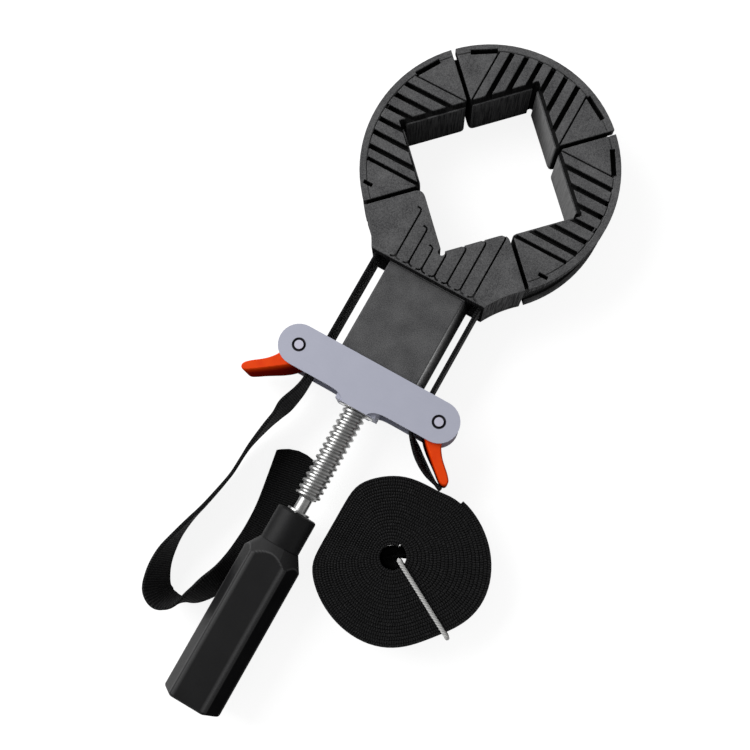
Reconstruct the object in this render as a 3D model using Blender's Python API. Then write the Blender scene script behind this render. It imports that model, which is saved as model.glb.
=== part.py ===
"""Band clamp for frame corners: four V jaws in a strap, tightened by a screw and crossbar.

Metres, +Z up. The clamp lies flat: the long axis runs along Y, with the jaws at +Y and the
handle at -Y. Lengths along Y are written as distances from the middle of the ring of jaws,
and the whole model hangs on one empty that puts the middle of its length at the origin.
"""

import math

import bmesh
import bpy
from mathutils import Matrix, Vector

MM = 0.001
FIT = 0.3 * MM  # clearance left between two pieces that seat on each other

# Ring of jaws
RING_RADIUS = 58.5 * MM
HOLE_SIDE = 63 * MM  # square opening with the jaws closed
JAW_HEIGHT = 33 * MM
JAW_GAP = 2.0 * MM
JAW_CORNER = 2.4 * MM  # rounding where a free jaw's V meets the gap
RIM_WIDTH = 3.3 * MM
RIM_LINE_WIDTH = 0.5 * MM
RIM_LINE_DEPTH = 0.5 * MM
RIB_PITCH = 6.7 * MM
SLOT_WIDTH = 2.4 * MM
SLOT_DEPTH = 4.8 * MM
EDGE_SLOT_WIDTH = 1.8 * MM
EDGE_LINE_WIDTH = 0.8 * MM
EDGE_LINE_DEPTH = 1.2 * MM
LEDGE_WIDTH = 1.4 * MM
DASH_LENGTH = 12.5 * MM
DASH_SETBACK = 3.5 * MM  # from the rim's edge to the dash's middle
DASH_ANGLE = 31  # degrees from the jaw's middle
NOTCH_LENGTH = 4.5 * MM
NOTCH_ANGLE = 36.3
RELIEF_RADIUS = 1.6 * MM
CUT_HALF_ANGLE = 52  # cutters that follow the rim run past the jaw's own 45 degrees

# Webbing
STRAP_WIDTH = 20 * MM
STRAP_THICKNESS = 1.7 * MM
STRAP_SIDE_ROOM = 0.4 * MM
STRAP_SINK = 3 * MM  # from the rim's edge in to the middle of the webbing
STRAP_X = 26.2 * MM  # where the webbing runs along the stem
STRAP_BEND = 4 * MM
STRAP_TURN_IN = 1.5 * MM  # from the foot in to the webbing's bend

# Fixed jaw and stem
FOOT_SETBACK = 1 * MM  # how far the foot stays inside the ring's radius
FOOT_HALF_WIDTH = 28.5 * MM
FLANK_HOLLOW = 0.9 * MM
TIP_ROUNDING = 4 * MM
STEM_LENGTH = 45.5 * MM
STEM_TOP_WIDTH = 38 * MM
STEM_BASE_WIDTH = 43 * MM
STEM_EDGE_RADIUS = 1.0 * MM
STEM_ROOT = 4 * MM  # how far the stem runs into the jaw
SEAM_WIDTH = 0.9 * MM
SEAM_DEPTH = 0.9 * MM
FINGER_PITCH = 6.5 * MM
FINGER_SHIFT = 2.4 * MM
FINGER_LINE_WIDTH = 0.8 * MM
FINGER_LINE_DEPTH = 1.2 * MM
FINGER_CORNER = 2.0 * MM
FINGER_HOOK = 2.4 * MM
FINGER_HOOK_DROP = 0.5 * MM
FINGER_MARGIN = 1.4 * MM
FINGER_FOOT_MARGIN = 0.8 * MM

# Crossbar
CROSSBAR_SETBACK = 8 * MM  # from the stem's end to the pivots
CROSSBAR_HALF_WIDTH = 9.4 * MM
PIVOT_X = 35.4 * MM
PLATE_THICKNESS = 2.0 * MM
PLATE_ROOM = 1.0 * MM  # between the webbing's edge and a plate
NECK_LENGTH = 12.8 * MM  # from the pivots to the neck's end
NECK_HALF_WIDTH = 6.0 * MM
NECK_FILLET = 9.0 * MM
CORE_ROOM = 3 * MM  # between the stem's end and the core
CORE_LENGTH = 12.8 * MM
CORE_CORNER = 2.5 * MM
BOSS_HALF_WIDTH = 10 * MM
PIN_RADIUS = 2.3 * MM
PIN_SINK_RADIUS = 3.15 * MM
PIN_SINK_DEPTH = 0.8 * MM

# Cam levers
LEVER_LENGTH = 27.6 * MM
LEVER_ROOT_WIDTH = 9.2 * MM
LEVER_TIP_WIDTH = 4.2 * MM
LEVER_HOLLOW = 1.95 * MM  # of the side that faces the webbing
LEVER_CROWN = 0.5 * MM  # of the outer side
LEVER_ROOT_SHARE = 0.55  # of the cam's radius, where the lever's sides start
LEVER_WAIST_SHARE = 0.6  # of the lever's length, where its sides bend most
LEVER_ANGLE_LEFT = 40  # degrees outward from straight back
LEVER_ANGLE_RIGHT = 34
CAM_CLOSED_ANGLE = 34
CAM_DROP = 2.2 * MM  # how much radius the cam loses over its opening turn
CAM_TURN = 75
CAM_BACK_ANGLE = 70  # where the lever's outer side runs into the cam's back
CAM_TOOTH_DEPTH = 0.5 * MM
CAM_TOOTH_ANGLE = 9

# Spindle and handle
THREAD_RADIUS = 5.8 * MM
THREAD_LENGTH = 65 * MM
JOURNAL_RADIUS = 5.2 * MM
JOURNAL_DEPTH = 16 * MM
JOURNAL_CHAMFER = 1 * MM
NECK_RADIUS = 3.4 * MM
STEM_PIN_RADIUS = 1.5 * MM
STEM_PIN_SETBACK = 7 * MM
STEM_PIN_CAP = 2 * MM  # how far a pin reaches over the journal
SHANK_RADIUS = 3.1 * MM
SHANK_LENGTH = 8 * MM
TAIL_IN_HANDLE = 45 * MM
NUT_RADIUS = 8.6 * MM
WASHER_RADIUS = 8.2 * MM
WASHER_THICKNESS = 0.9 * MM
HANDLE_LENGTH = 93.5 * MM
HANDLE_FLATS = 24.5 * MM
HANDLE_CORNER_RADIUS = 2.5 * MM
COLLAR_RADIUS = 9.4 * MM
COLLAR_LENGTH = 16 * MM
COLLAR_CHAMFER = 0.8 * MM
SHOULDER_LENGTH = 7.5 * MM
HANDLE_END_RADIUS = 4 * MM
FACE_RING_RADIUS = 5.4 * MM
FACE_RING_THICKNESS = 0.9 * MM

# Loose webbing
COIL_CENTRE = Vector((50.0 * MM, -172.3 * MM))
COIL_HALF_X = 41 * MM
COIL_HALF_Y = 39 * MM
COIL_LEFT = 14.6 * MM  # the roll is pressed flat here, clear of the handle
COIL_TOP = -136.7 * MM  # and here, below the lever and the lead
COIL_STEP = Vector((50.8 * MM, -134.6 * MM))  # where the lead becomes the outermost turn
COIL_STEP_RISE = 0.25  # how fast the outermost turn swells away from there
COIL_SOFTNESS = 1.6 * MM
COIL_HOLE = Vector((45.9 * MM, -172.0 * MM))
COIL_HOLE_RADIUS = 4.4 * MM
COIL_PINCH = 4.2 * MM  # how far the tie pulls the turns in
PINCH_ANGLE = -37
PINCH_SPREAD = 30
TIE_ANGLE = -28.5
TIE_RADIUS = 0.9 * MM
TIE_BEND = 1.2 * MM
TIE_ASIDE = 1.7 * MM  # from the hole's middle to the tie
LIFT = 0.1 * MM  # between the table and what lies on it

# Worked out from the above
FOOT_Y = RING_RADIUS - FOOT_SETBACK
STEM_END_Y = FOOT_Y + STEM_LENGTH
CROSSBAR_Y = STEM_END_Y + CROSSBAR_SETBACK
NECK_END_Y = CROSSBAR_Y + NECK_LENGTH
CORE_FRONT_Y = STEM_END_Y + CORE_ROOM
CORE_BACK_Y = CORE_FRONT_Y + CORE_LENGTH
THREAD_END_Y = STEM_END_Y + THREAD_LENGTH
HANDLE_FACE_Y = THREAD_END_Y + SHANK_LENGTH
HANDLE_END_Y = HANDLE_FACE_Y + HANDLE_LENGTH
AXIS_Z = JAW_HEIGHT / 2
HALF_DIAGONAL = HOLE_SIDE / math.sqrt(2)
CORNER_IN = HALF_DIAGONAL / 2
GAP_SHIFT = JAW_GAP / math.sqrt(2)
STRAP_RADIUS = RING_RADIUS - STRAP_SINK
STRAP_LOW = AXIS_Z - STRAP_WIDTH / 2
STRAP_HIGH = AXIS_Z + STRAP_WIDTH / 2
GROOVE_LOW = STRAP_LOW - STRAP_SIDE_ROOM
GROOVE_HIGH = STRAP_HIGH + STRAP_SIDE_ROOM
STRAP_ROOM = STRAP_THICKNESS / 2 + FIT
PLATE_IN_LOW = STRAP_LOW - PLATE_ROOM
PLATE_IN_HIGH = STRAP_HIGH + PLATE_ROOM
BETWEEN_LOW = PLATE_IN_LOW + FIT
BETWEEN_HIGH = PLATE_IN_HIGH - FIT
ANVIL_X = STRAP_X - STRAP_ROOM
CAM_RADIUS = PIVOT_X - STRAP_X - STRAP_ROOM
OVER = 1 * MM  # how far a cutter runs past the face it opens
HALF_LENGTH_SHIFT = (HANDLE_END_Y - RING_RADIUS) / 2

GREY_PLASTIC = ("jaw_plastic", (0.085, 0.085, 0.088), 0.55, 0.0)
STEM_PLASTIC = ("handle_plastic", (0.012, 0.012, 0.013), 0.45, 0.0)
ZINC = ("crossbar_zinc", (0.40, 0.42, 0.50), 0.45, 0.7)
STEEL = ("bright_steel", (0.62, 0.62, 0.62), 0.25, 1.0)
ORANGE = ("lever_orange", (0.90, 0.15, 0.02), 0.4, 0.0)
WEBBING = ("webbing", (0.008, 0.008, 0.008), 0.9, 0.0)
CORD = ("tie_cord", (0.5, 0.5, 0.5), 0.8, 0.0)


def clear_scene():
    for obj in list(bpy.data.objects):
        bpy.data.objects.remove(obj, do_unlink=True)


def finish_of(finish):
    name, colour, roughness, metallic = finish
    found = bpy.data.materials.get(name)
    if found:
        return found
    made = bpy.data.materials.new(name)
    made.use_nodes = True
    shader = made.node_tree.nodes["Principled BSDF"]
    shader.inputs["Base Color"].default_value = (*colour, 1)
    shader.inputs["Roughness"].default_value = roughness
    shader.inputs["Metallic"].default_value = metallic
    made.diffuse_color = (*colour, 1)
    return made


def add_object(name, bm, finish, smooth=False):
    """Puts a closed mesh in the scene, on the empty that carries the clamp."""
    bmesh.ops.remove_doubles(bm, verts=bm.verts, dist=1e-7)
    bmesh.ops.recalc_face_normals(bm, faces=bm.faces)
    mesh = bpy.data.meshes.new(name)
    bm.to_mesh(mesh)
    bm.free()
    if smooth:
        mesh.shade_smooth()
        mesh.set_sharp_from_angle(angle=math.radians(30))
    obj = bpy.data.objects.new(name, mesh)
    obj.data.materials.append(finish_of(finish))
    bpy.context.scene.collection.objects.link(obj)
    obj.parent = bpy.data.objects["clamp"]
    return obj


def prism(name, outline, low, high, finish=GREY_PLASTIC, turn=None):
    """Extrudes an outline of (x, y) points from one height to the other."""
    bm = bmesh.new()
    base = bm.faces.new([bm.verts.new((x, y, low)) for x, y in outline])
    top = bmesh.ops.extrude_face_region(bm, geom=[base])
    moved = [item for item in top["geom"] if isinstance(item, bmesh.types.BMVert)]
    bmesh.ops.translate(bm, verts=moved, vec=(0, 0, high - low))
    if turn:
        bm.transform(turn)
    return add_object(name, bm, finish)


def turned(name, profile, finish, steps=32, bore=False):
    """Turns (radius, distance back) points about the spindle's axis."""
    bm = bmesh.new()
    verts = [bm.verts.new((radius, -back, AXIS_Z)) for radius, back in profile]
    edges = [bm.edges.new(pair) for pair in zip(verts, verts[1:])]
    if bore:
        edges.append(bm.edges.new((verts[-1], verts[0])))
    bmesh.ops.spin(
        bm,
        geom=verts + edges,
        cent=(0, 0, AXIS_Z),
        axis=(0, 1, 0),
        angle=math.tau,
        steps=steps,
        use_duplicate=False,
    )
    return add_object(name, bm, finish, smooth=True)


def change(target, tool, operation):
    """Cuts, joins or keeps the shared part of two solids, with the tool hidden."""
    tool.hide_render = True
    tool.display_type = "WIRE"
    modifier = target.modifiers.new(tool.name, "BOOLEAN")
    modifier.operation = operation
    modifier.solver = "EXACT"
    modifier.object = tool


def cut(target, tool):
    change(target, tool, "DIFFERENCE")


def arc(centre, radius, start, end, steps):
    """Points on an arc between two angles in degrees."""
    angles = [math.radians(start + (end - start) * i / steps) for i in range(steps + 1)]
    return [
        (centre[0] + radius * math.cos(a), centre[1] + radius * math.sin(a)) for a in angles
    ]


def curve_through(start, control, end, steps):
    """Quadratic curve from start to end, pulled towards the control point."""
    points = []
    for i in range(steps + 1):
        t = i / steps
        weights = ((1 - t) ** 2, 2 * t * (1 - t), t * t)
        points.append(
            tuple(
                weights[0] * start[k] + weights[1] * control[k] + weights[2] * end[k]
                for k in (0, 1)
            )
        )
    return points


def softened(before, corner, after, radius, steps=3):
    """A short curve of about the radius in place of a corner between two other points."""
    here = Vector(corner)
    back = (Vector(before) - here).normalized()
    on = (Vector(after) - here).normalized()
    return curve_through(here + back * radius, here, here + on * radius, steps)


def rounded(corners, radius, steps=3):
    """The outline with each corner softened."""
    points = []
    for i, corner in enumerate(corners):
        after = corners[(i + 1) % len(corners)]
        points += softened(corners[i - 1], corner, after, radius, steps)
    return points


def ribbon(points, width):
    """Outline of a band of constant width along a line of points."""
    points = [Vector(p) for p in points]
    left, right = [], []
    for i, here in enumerate(points):
        before = points[max(i - 1, 0)]
        after = points[min(i + 1, len(points) - 1)]
        into = (here - before).normalized() if i else (after - here).normalized()
        out = (after - here).normalized() if i < len(points) - 1 else into
        side = (into + out).normalized()
        spread = width / 2 / max(side.dot(into), 0.5)
        across = Vector((-side.y, side.x)) * spread
        left.append(tuple(here + across))
        right.append(tuple(here - across))
    return left + right[::-1]


def box_outline(low_x, high_x, low_y, high_y):
    return [(low_x, low_y), (high_x, low_y), (high_x, high_y), (low_x, high_y)]


def circle(centre, radius, steps=24):
    return arc(centre, radius, 0, 360 - 360 / steps, steps - 1)


def strap_line():
    """The webbing's middle on the right side, from the crossbar to the right jaw's groove."""
    foot = Vector((STRAP_X, -FOOT_Y + STRAP_TURN_IN))
    lean = math.acos(STRAP_RADIUS / foot.length)
    angle = math.atan2(foot.y, foot.x) + lean
    touch = Vector((STRAP_RADIUS * math.cos(angle), STRAP_RADIUS * math.sin(angle)))
    up = Vector((0, 1))
    along = (touch - foot).normalized()
    bend = curve_through(foot - up * STRAP_BEND, foot, foot + along * STRAP_BEND, 4)
    return bend, touch, along, math.degrees(angle)


def gap_crossing():
    """Where the webbing's straight stretch meets the middle of the gap beside the fixed jaw."""
    bend, touch, along, _ = strap_line()
    start = Vector(bend[-1])
    reach = -(start.x + start.y) / (along.x + along.y)
    return start + along * reach, along


def strap_piece(name, points, low=STRAP_LOW, high=STRAP_HIGH):
    return prism(name, ribbon(points, STRAP_THICKNESS), low, high, WEBBING)


def mirrored(points):
    return [(-x, y) for x, y in points]


def jaw_outline():
    """A corner jaw seen from above, with its middle along +X and its V open to -X."""
    end = math.degrees(math.asin(JAW_GAP / 2 / RING_RADIUS))
    rim = arc((0, 0), RING_RADIUS, -45 + end, 45 - end, 24)
    inner = ((HALF_DIAGONAL + GAP_SHIFT) / 2, (HALF_DIAGONAL - GAP_SHIFT) / 2)
    vertex = (HALF_DIAGONAL, 0)
    corner = softened(rim[-1], inner, vertex, JAW_CORNER)
    return rim + corner + [vertex] + [(x, -y) for x, y in reversed(corner)]


def chevron(near, far):
    """A V-shaped strip between two lines that run parallel to a jaw's V."""
    reach = HALF_DIAGONAL
    return [
        (far, 0),
        (far - reach, reach),
        (near - reach, reach),
        (near, 0),
        (near - reach, -reach),
        (far - reach, -reach),
    ]


def rim_band(radius, width):
    """A band round the ring, for one jaw."""
    return ribbon(arc((0, 0), radius, -CUT_HALF_ANGLE, CUT_HALF_ANGLE, 26), width)


def jaw_slots(jaw, turn, side, wide_edge):
    """The slots between the ribs on one side of a jaw, out to the line round its rim."""
    top = JAW_HEIGHT + OVER
    slot_floor = JAW_HEIGHT - SLOT_DEPTH
    slot_end = RING_RADIUS - RIM_WIDTH
    for step_number in (0.5, 1.5, 2.5):
        across = side * step_number * RIB_PITCH
        near = HALF_DIAGONAL - abs(across) - 2 * OVER
        far = math.sqrt(slot_end**2 - across**2)
        slot = box_outline(near, far, across - SLOT_WIDTH / 2, across + SLOT_WIDTH / 2)
        cut(jaw, prism(f"{jaw.name}_slot_{side}_{step_number}", slot, slot_floor, top, turn=turn))

    across = side * CORNER_IN
    wide = side == wide_edge
    half = (EDGE_SLOT_WIDTH if wide else EDGE_LINE_WIDTH) / 2
    floor = slot_floor if wide else JAW_HEIGHT - EDGE_LINE_DEPTH
    far = math.sqrt(slot_end**2 - across**2)
    line = box_outline(CORNER_IN - OVER, far, across - half, across + half)
    cut(jaw, prism(f"{jaw.name}_edge_{side}", line, floor, top, turn=turn))

    radius = RING_RADIUS - DASH_SETBACK
    if wide:
        spin = Matrix.Rotation(math.radians(side * NOTCH_ANGLE), 4, "Z")
        middle = spin @ Vector((radius, 0, 0))
        place = turn @ Matrix.Translation(middle)
        mark = box_outline(-NOTCH_LENGTH / 2, NOTCH_LENGTH / 2, -half, half)
    else:
        spin = Matrix.Rotation(math.radians(side * DASH_ANGLE), 4, "Z")
        place = turn @ spin @ Matrix.Translation((radius, 0, 0))
        mark = box_outline(-SLOT_WIDTH / 2, SLOT_WIDTH / 2, -DASH_LENGTH / 2, DASH_LENGTH / 2)
    cut(jaw, prism(f"{jaw.name}_mark_{side}", mark, slot_floor, top, turn=place))


def corner_jaw(name, facing, wide_edge):
    """One free jaw. wide_edge is the side on which its outermost line is a full slot."""
    turn = Matrix.Rotation(math.radians(facing), 4, "Z")
    top = JAW_HEIGHT + OVER
    jaw = prism(name, jaw_outline(), 0, JAW_HEIGHT, GREY_PLASTIC, turn)

    groove_out, groove_in = RING_RADIUS + 2 * OVER, STRAP_RADIUS - STRAP_ROOM
    groove = rim_band((groove_out + groove_in) / 2, groove_out - groove_in)
    cut(jaw, prism(f"{name}_groove", groove, GROOVE_LOW, GROOVE_HIGH, turn=turn))
    line = rim_band(RING_RADIUS - RIM_WIDTH, RIM_LINE_WIDTH)
    cut(jaw, prism(f"{name}_rim_line", line, JAW_HEIGHT - RIM_LINE_DEPTH, top, turn=turn))
    ledge = chevron(HALF_DIAGONAL - 3 * OVER, HALF_DIAGONAL + LEDGE_WIDTH * math.sqrt(2))
    cut(jaw, prism(f"{name}_ledge", ledge, JAW_HEIGHT - SLOT_DEPTH, top, turn=turn))
    relief = circle((HALF_DIAGONAL, 0), RELIEF_RADIUS, 12)
    cut(jaw, prism(f"{name}_relief", relief, -OVER, top, turn=turn))
    for side in (-1, 1):
        jaw_slots(jaw, turn, side, wide_edge)
    return jaw


def finger_line(x):
    """One engraved line between two raised fingers, hooked over the finger on its left."""
    high = -HALF_DIAGONAL + abs(x) - FINGER_MARGIN - (FINGER_CORNER if x < 0 else 0)
    low = -FOOT_Y + FINGER_FOOT_MARGIN
    hook = x - FINGER_HOOK
    lower = curve_through((hook, low), (x, low), (x, low + FINGER_CORNER), 3)
    upper = curve_through((x, high - FINGER_CORNER), (x, high), (hook, high - FINGER_HOOK_DROP), 3)
    return lower + upper


def finger_foot(x):
    """The short curve that rounds the foot of the finger on a line's right."""
    low = -FOOT_Y + FINGER_FOOT_MARGIN
    return curve_through((x, low + FINGER_CORNER), (x, low), (x + FINGER_HOOK, low), 3)


def fixed_jaw_and_stem():
    """The moulding that holds everything: the fourth V jaw, and the stem with the screw's end."""
    end = math.radians(45) - math.asin(JAW_GAP / 2 / RING_RADIUS)
    outer = (RING_RADIUS * math.sin(end), -RING_RADIUS * math.cos(end))
    foot = (FOOT_HALF_WIDTH, -FOOT_Y)
    middle = ((outer[0] + foot[0]) / 2, (outer[1] + foot[1]) / 2)
    across = Vector((outer[0] - foot[0], outer[1] - foot[1])).normalized()
    pulled = (middle[0] - across.y * 2 * FLANK_HOLLOW, middle[1] + across.x * 2 * FLANK_HOLLOW)
    flank = curve_through(outer, pulled, foot, 8)
    inner = ((HALF_DIAGONAL - GAP_SHIFT) / 2, -(HALF_DIAGONAL + GAP_SHIFT) / 2)
    vertex = (0, -HALF_DIAGONAL)
    half = softened(vertex, inner, outer, TIP_ROUNDING, 5) + flank
    outline = [vertex] + half + mirrored(half)[::-1]
    body = prism("fixed_jaw_and_stem", outline, 0, JAW_HEIGHT)

    low_half, high_half = STEM_BASE_WIDTH / 2, STEM_TOP_WIDTH / 2
    section = rounded(
        [
            (-low_half, BETWEEN_LOW),
            (low_half, BETWEEN_LOW),
            (high_half, BETWEEN_HIGH),
            (-high_half, BETWEEN_HIGH),
        ],
        STEM_EDGE_RADIUS,
    )
    lay_down = Matrix.Rotation(math.radians(90), 4, "X")
    stem = prism("stem_block", section, FOOT_Y - STEM_ROOT, STEM_END_Y, turn=lay_down)
    change(body, stem, "UNION")

    relief = circle((0, -HALF_DIAGONAL), RELIEF_RADIUS, 12)
    cut(body, prism("fixed_relief", relief, -OVER, JAW_HEIGHT + OVER))
    floor, top = JAW_HEIGHT - FINGER_LINE_DEPTH, JAW_HEIGHT + OVER
    for number in range(-3, 4):
        x = FINGER_SHIFT + number * FINGER_PITCH
        for tag, points in (("line", finger_line(x)), ("foot", finger_foot(x))):
            line = ribbon(points, FINGER_LINE_WIDTH)
            cut(body, prism(f"finger_{tag}_{number + 4}", line, floor, top))
    seam = box_outline(-STEM_BASE_WIDTH, STEM_BASE_WIDTH, -FOOT_Y - SEAM_WIDTH, -FOOT_Y)
    cut(body, prism("stem_seam", seam, BETWEEN_HIGH - SEAM_DEPTH, top))

    bend, touch, _, _ = strap_line()
    path = [(STRAP_X, -FOOT_Y - STRAP_BEND - OVER)] + bend + [tuple(touch)]
    channel = ribbon(path, STRAP_THICKNESS + 2 * FIT)
    mouth = box_outline(
        STEM_BASE_WIDTH / 2 + FIT, STRAP_X + STRAP_ROOM, -FOOT_Y - OVER, -FOOT_Y + STRAP_BEND
    )
    for side, flip in (("right", list), ("left", mirrored)):
        for tag, shape in (("channel", channel), ("mouth", mouth)):
            tool = prism(f"strap_{tag}_{side}", flip(shape), GROOVE_LOW, GROOVE_HIGH)
            cut(body, tool)

    bore = JOURNAL_RADIUS + FIT
    depth = STEM_END_Y - JOURNAL_DEPTH - FIT
    hole = [(0, depth), (bore, depth), (bore, STEM_END_Y + OVER), (0, STEM_END_Y + OVER)]
    cut(body, turned("journal_bore", hole, GREY_PLASTIC, 32))
    for side, x in stem_pin_places():
        place = circle((x, -STEM_END_Y + STEM_PIN_SETBACK), STEM_PIN_RADIUS + FIT, 16)
        tool = prism(f"stem_pin_hole_{side}", place, BETWEEN_LOW - OVER, pin_top() + FIT)
        cut(body, tool)
    return body


def stem_pin_places():
    x = NECK_RADIUS + FIT + STEM_PIN_RADIUS
    return (("left", -x), ("right", x))


def pin_top():
    return AXIS_Z + JOURNAL_RADIUS + STEM_PIN_CAP


def stem_pins():
    for side, x in stem_pin_places():
        outline = circle((x, -STEM_END_Y + STEM_PIN_SETBACK), STEM_PIN_RADIUS, 16)
        prism(f"stem_pin_{side}", outline, BETWEEN_LOW + FIT, pin_top(), STEEL)


def crossbar_outline():
    """Round-ended bar with a filleted neck over the screw."""
    back = -CROSSBAR_Y - CROSSBAR_HALF_WIDTH
    neck = curve_through(
        (NECK_HALF_WIDTH + NECK_FILLET, back),
        (NECK_HALF_WIDTH + 0.2 * NECK_FILLET, back),
        (NECK_HALF_WIDTH, -NECK_END_Y),
        6,
    )
    right_end = arc((PIVOT_X, -CROSSBAR_Y), CROSSBAR_HALF_WIDTH, -90, 90, 16)
    half = neck[::-1] + right_end
    return half + mirrored(half)[::-1]


def crossbar_plate(name, low, sink_low):
    plate = prism(name, crossbar_outline(), low, low + PLATE_THICKNESS, ZINC)
    for side, x in (("left", -PIVOT_X), ("right", PIVOT_X)):
        centre = (x, -CROSSBAR_Y)
        hole = circle(centre, PIN_RADIUS + FIT)
        cut(plate, prism(f"{name}_hole_{side}", hole, low - OVER, low + PLATE_THICKNESS + OVER))
        sink = circle(centre, PIN_SINK_RADIUS)
        cut(plate, prism(f"{name}_sink_{side}", sink, sink_low, sink_low + PIN_SINK_DEPTH + OVER))
    return plate


def crossbar():
    """Two plates on a core that holds the nut and backs the webbing where the cams press."""
    top_low = PLATE_IN_HIGH
    bottom_low = PLATE_IN_LOW - PLATE_THICKNESS
    crossbar_plate("crossbar_top_plate", top_low, top_low + PLATE_THICKNESS - PIN_SINK_DEPTH)
    crossbar_plate("crossbar_bottom_plate", bottom_low, bottom_low - OVER)

    boss = [(BOSS_HALF_WIDTH, -NECK_END_Y + FIT), (BOSS_HALF_WIDTH, -CORE_BACK_Y)]
    back, front = (ANVIL_X, -CORE_BACK_Y), (ANVIL_X, -CORE_FRONT_Y)
    half = boss + softened(boss[1], back, front, CORE_CORNER, 4)
    half += softened(back, front, (0, -CORE_FRONT_Y), CORE_CORNER, 4)
    core = prism("crossbar_core", half + mirrored(half)[::-1], BETWEEN_LOW, BETWEEN_HIGH, ZINC)
    bore = NUT_RADIUS + FIT
    hole = [(0, CORE_FRONT_Y - OVER), (bore, CORE_FRONT_Y - OVER)]
    hole += [(bore, NECK_END_Y + OVER), (0, NECK_END_Y + OVER)]
    cut(core, turned("nut_bore", hole, ZINC))

    inside = THREAD_RADIUS + FIT
    front, back = CORE_FRONT_Y + FIT, NECK_END_Y
    ring = [(inside, front), (NUT_RADIUS, front), (NUT_RADIUS, back), (inside, back)]
    turned("spindle_nut", ring, STEEL, bore=True)

    for side, x in (("left", -PIVOT_X), ("right", PIVOT_X)):
        outline = circle((x, -CROSSBAR_Y), PIN_RADIUS)
        low = PLATE_IN_LOW - PLATE_THICKNESS
        prism(f"cam_pin_{side}", outline, low, PLATE_IN_HIGH + PLATE_THICKNESS, STEEL)


def cam_outline():
    """A lever pointing along +X with its toothed cam, for the right side of the crossbar.

    The cam's face meets the webbing at contact, and its radius falls from there on as the
    lever is turned outward.
    """
    contact = 180 - (CAM_CLOSED_ANGLE - 90)
    lobe = []
    first, last = contact - CAM_TURN, contact + CAM_TOOTH_ANGLE
    count = round((last - first) / (CAM_TOOTH_ANGLE / 2))
    for i in range(count + 1):
        angle = first + (last - first) * i / count
        fall = CAM_DROP * max(contact - angle, 0) / CAM_TURN
        radius = CAM_RADIUS - fall - (CAM_TOOTH_DEPTH if i % 2 else 0)
        lobe.append((radius * math.cos(math.radians(angle)), radius * math.sin(math.radians(angle))))
    back = arc((0, 0), CAM_RADIUS - CAM_DROP, CAM_BACK_ANGLE, first - CAM_TOOTH_ANGLE / 2, 8)

    root, tip = LEVER_ROOT_WIDTH / 2, LEVER_TIP_WIDTH / 2
    start, reach = CAM_RADIUS * LEVER_ROOT_SHARE, LEVER_LENGTH - tip
    waist = reach * LEVER_WAIST_SHARE
    inner = curve_through((start, -root), (waist, -tip - LEVER_HOLLOW), (reach, -tip), 8)
    end = arc((reach, 0), tip, -90, 90, 8)
    outer = curve_through((reach, tip), (waist, tip + LEVER_CROWN), (start, root), 8)
    return inner[:-1] + end + outer[1:] + back + lobe


def cam_lever(side, angle):
    """angle is how far the lever stands outward from straight back."""
    sign = 1 if side == "right" else -1
    heading = math.radians(-90 + angle)
    turn = Matrix.Translation((PIVOT_X, -CROSSBAR_Y, 0)) @ Matrix.Rotation(heading, 4, "Z")
    if sign < 0:
        turn = Matrix.Scale(-1, 4, Vector((1, 0, 0))) @ turn
    lever = prism(f"cam_lever_{side}", cam_outline(), BETWEEN_LOW, BETWEEN_HIGH, ORANGE, turn)
    hole = circle((sign * PIVOT_X, -CROSSBAR_Y), PIN_RADIUS + FIT)
    cut(lever, prism(f"cam_hole_{side}", hole, 0, JAW_HEIGHT, ORANGE))
    return lever


def spindle():
    """Turned in one piece: captive journal, thread, plain shank and the end in the handle."""
    tip = STEM_END_Y - JOURNAL_DEPTH
    groove = STEM_END_Y - STEM_PIN_SETBACK
    half_groove = STEM_PIN_RADIUS + FIT
    thread = STEM_END_Y + WASHER_THICKNESS + 2 * FIT
    profile = [
        (0, tip),
        (JOURNAL_RADIUS - JOURNAL_CHAMFER, tip),
        (JOURNAL_RADIUS, tip + JOURNAL_CHAMFER),
        (JOURNAL_RADIUS, groove - half_groove),
        (NECK_RADIUS, groove - half_groove),
        (NECK_RADIUS, groove + half_groove),
        (JOURNAL_RADIUS, groove + half_groove),
        (JOURNAL_RADIUS, thread),
        (THREAD_RADIUS, thread),
        (THREAD_RADIUS, THREAD_END_Y),
        (SHANK_RADIUS, THREAD_END_Y + JOURNAL_CHAMFER),
        (SHANK_RADIUS, HANDLE_FACE_Y + TAIL_IN_HANDLE),
        (0, HANDLE_FACE_Y + TAIL_IN_HANDLE),
    ]
    turned("spindle", profile, STEEL)

    inside = JOURNAL_RADIUS + FIT
    front = STEM_END_Y + FIT
    ring = [(inside, front), (WASHER_RADIUS, front)]
    ring += [(WASHER_RADIUS, front + WASHER_THICKNESS), (inside, front + WASHER_THICKNESS)]
    turned("thrust_washer", ring, STEEL, bore=True)

    inside = SHANK_RADIUS + FIT
    back = HANDLE_FACE_Y - FIT
    ring = [(inside, back - FACE_RING_THICKNESS), (FACE_RING_RADIUS, back - FACE_RING_THICKNESS)]
    ring += [(FACE_RING_RADIUS, back), (inside, back)]
    turned("handle_washer", ring, STEEL, bore=True)


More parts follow.
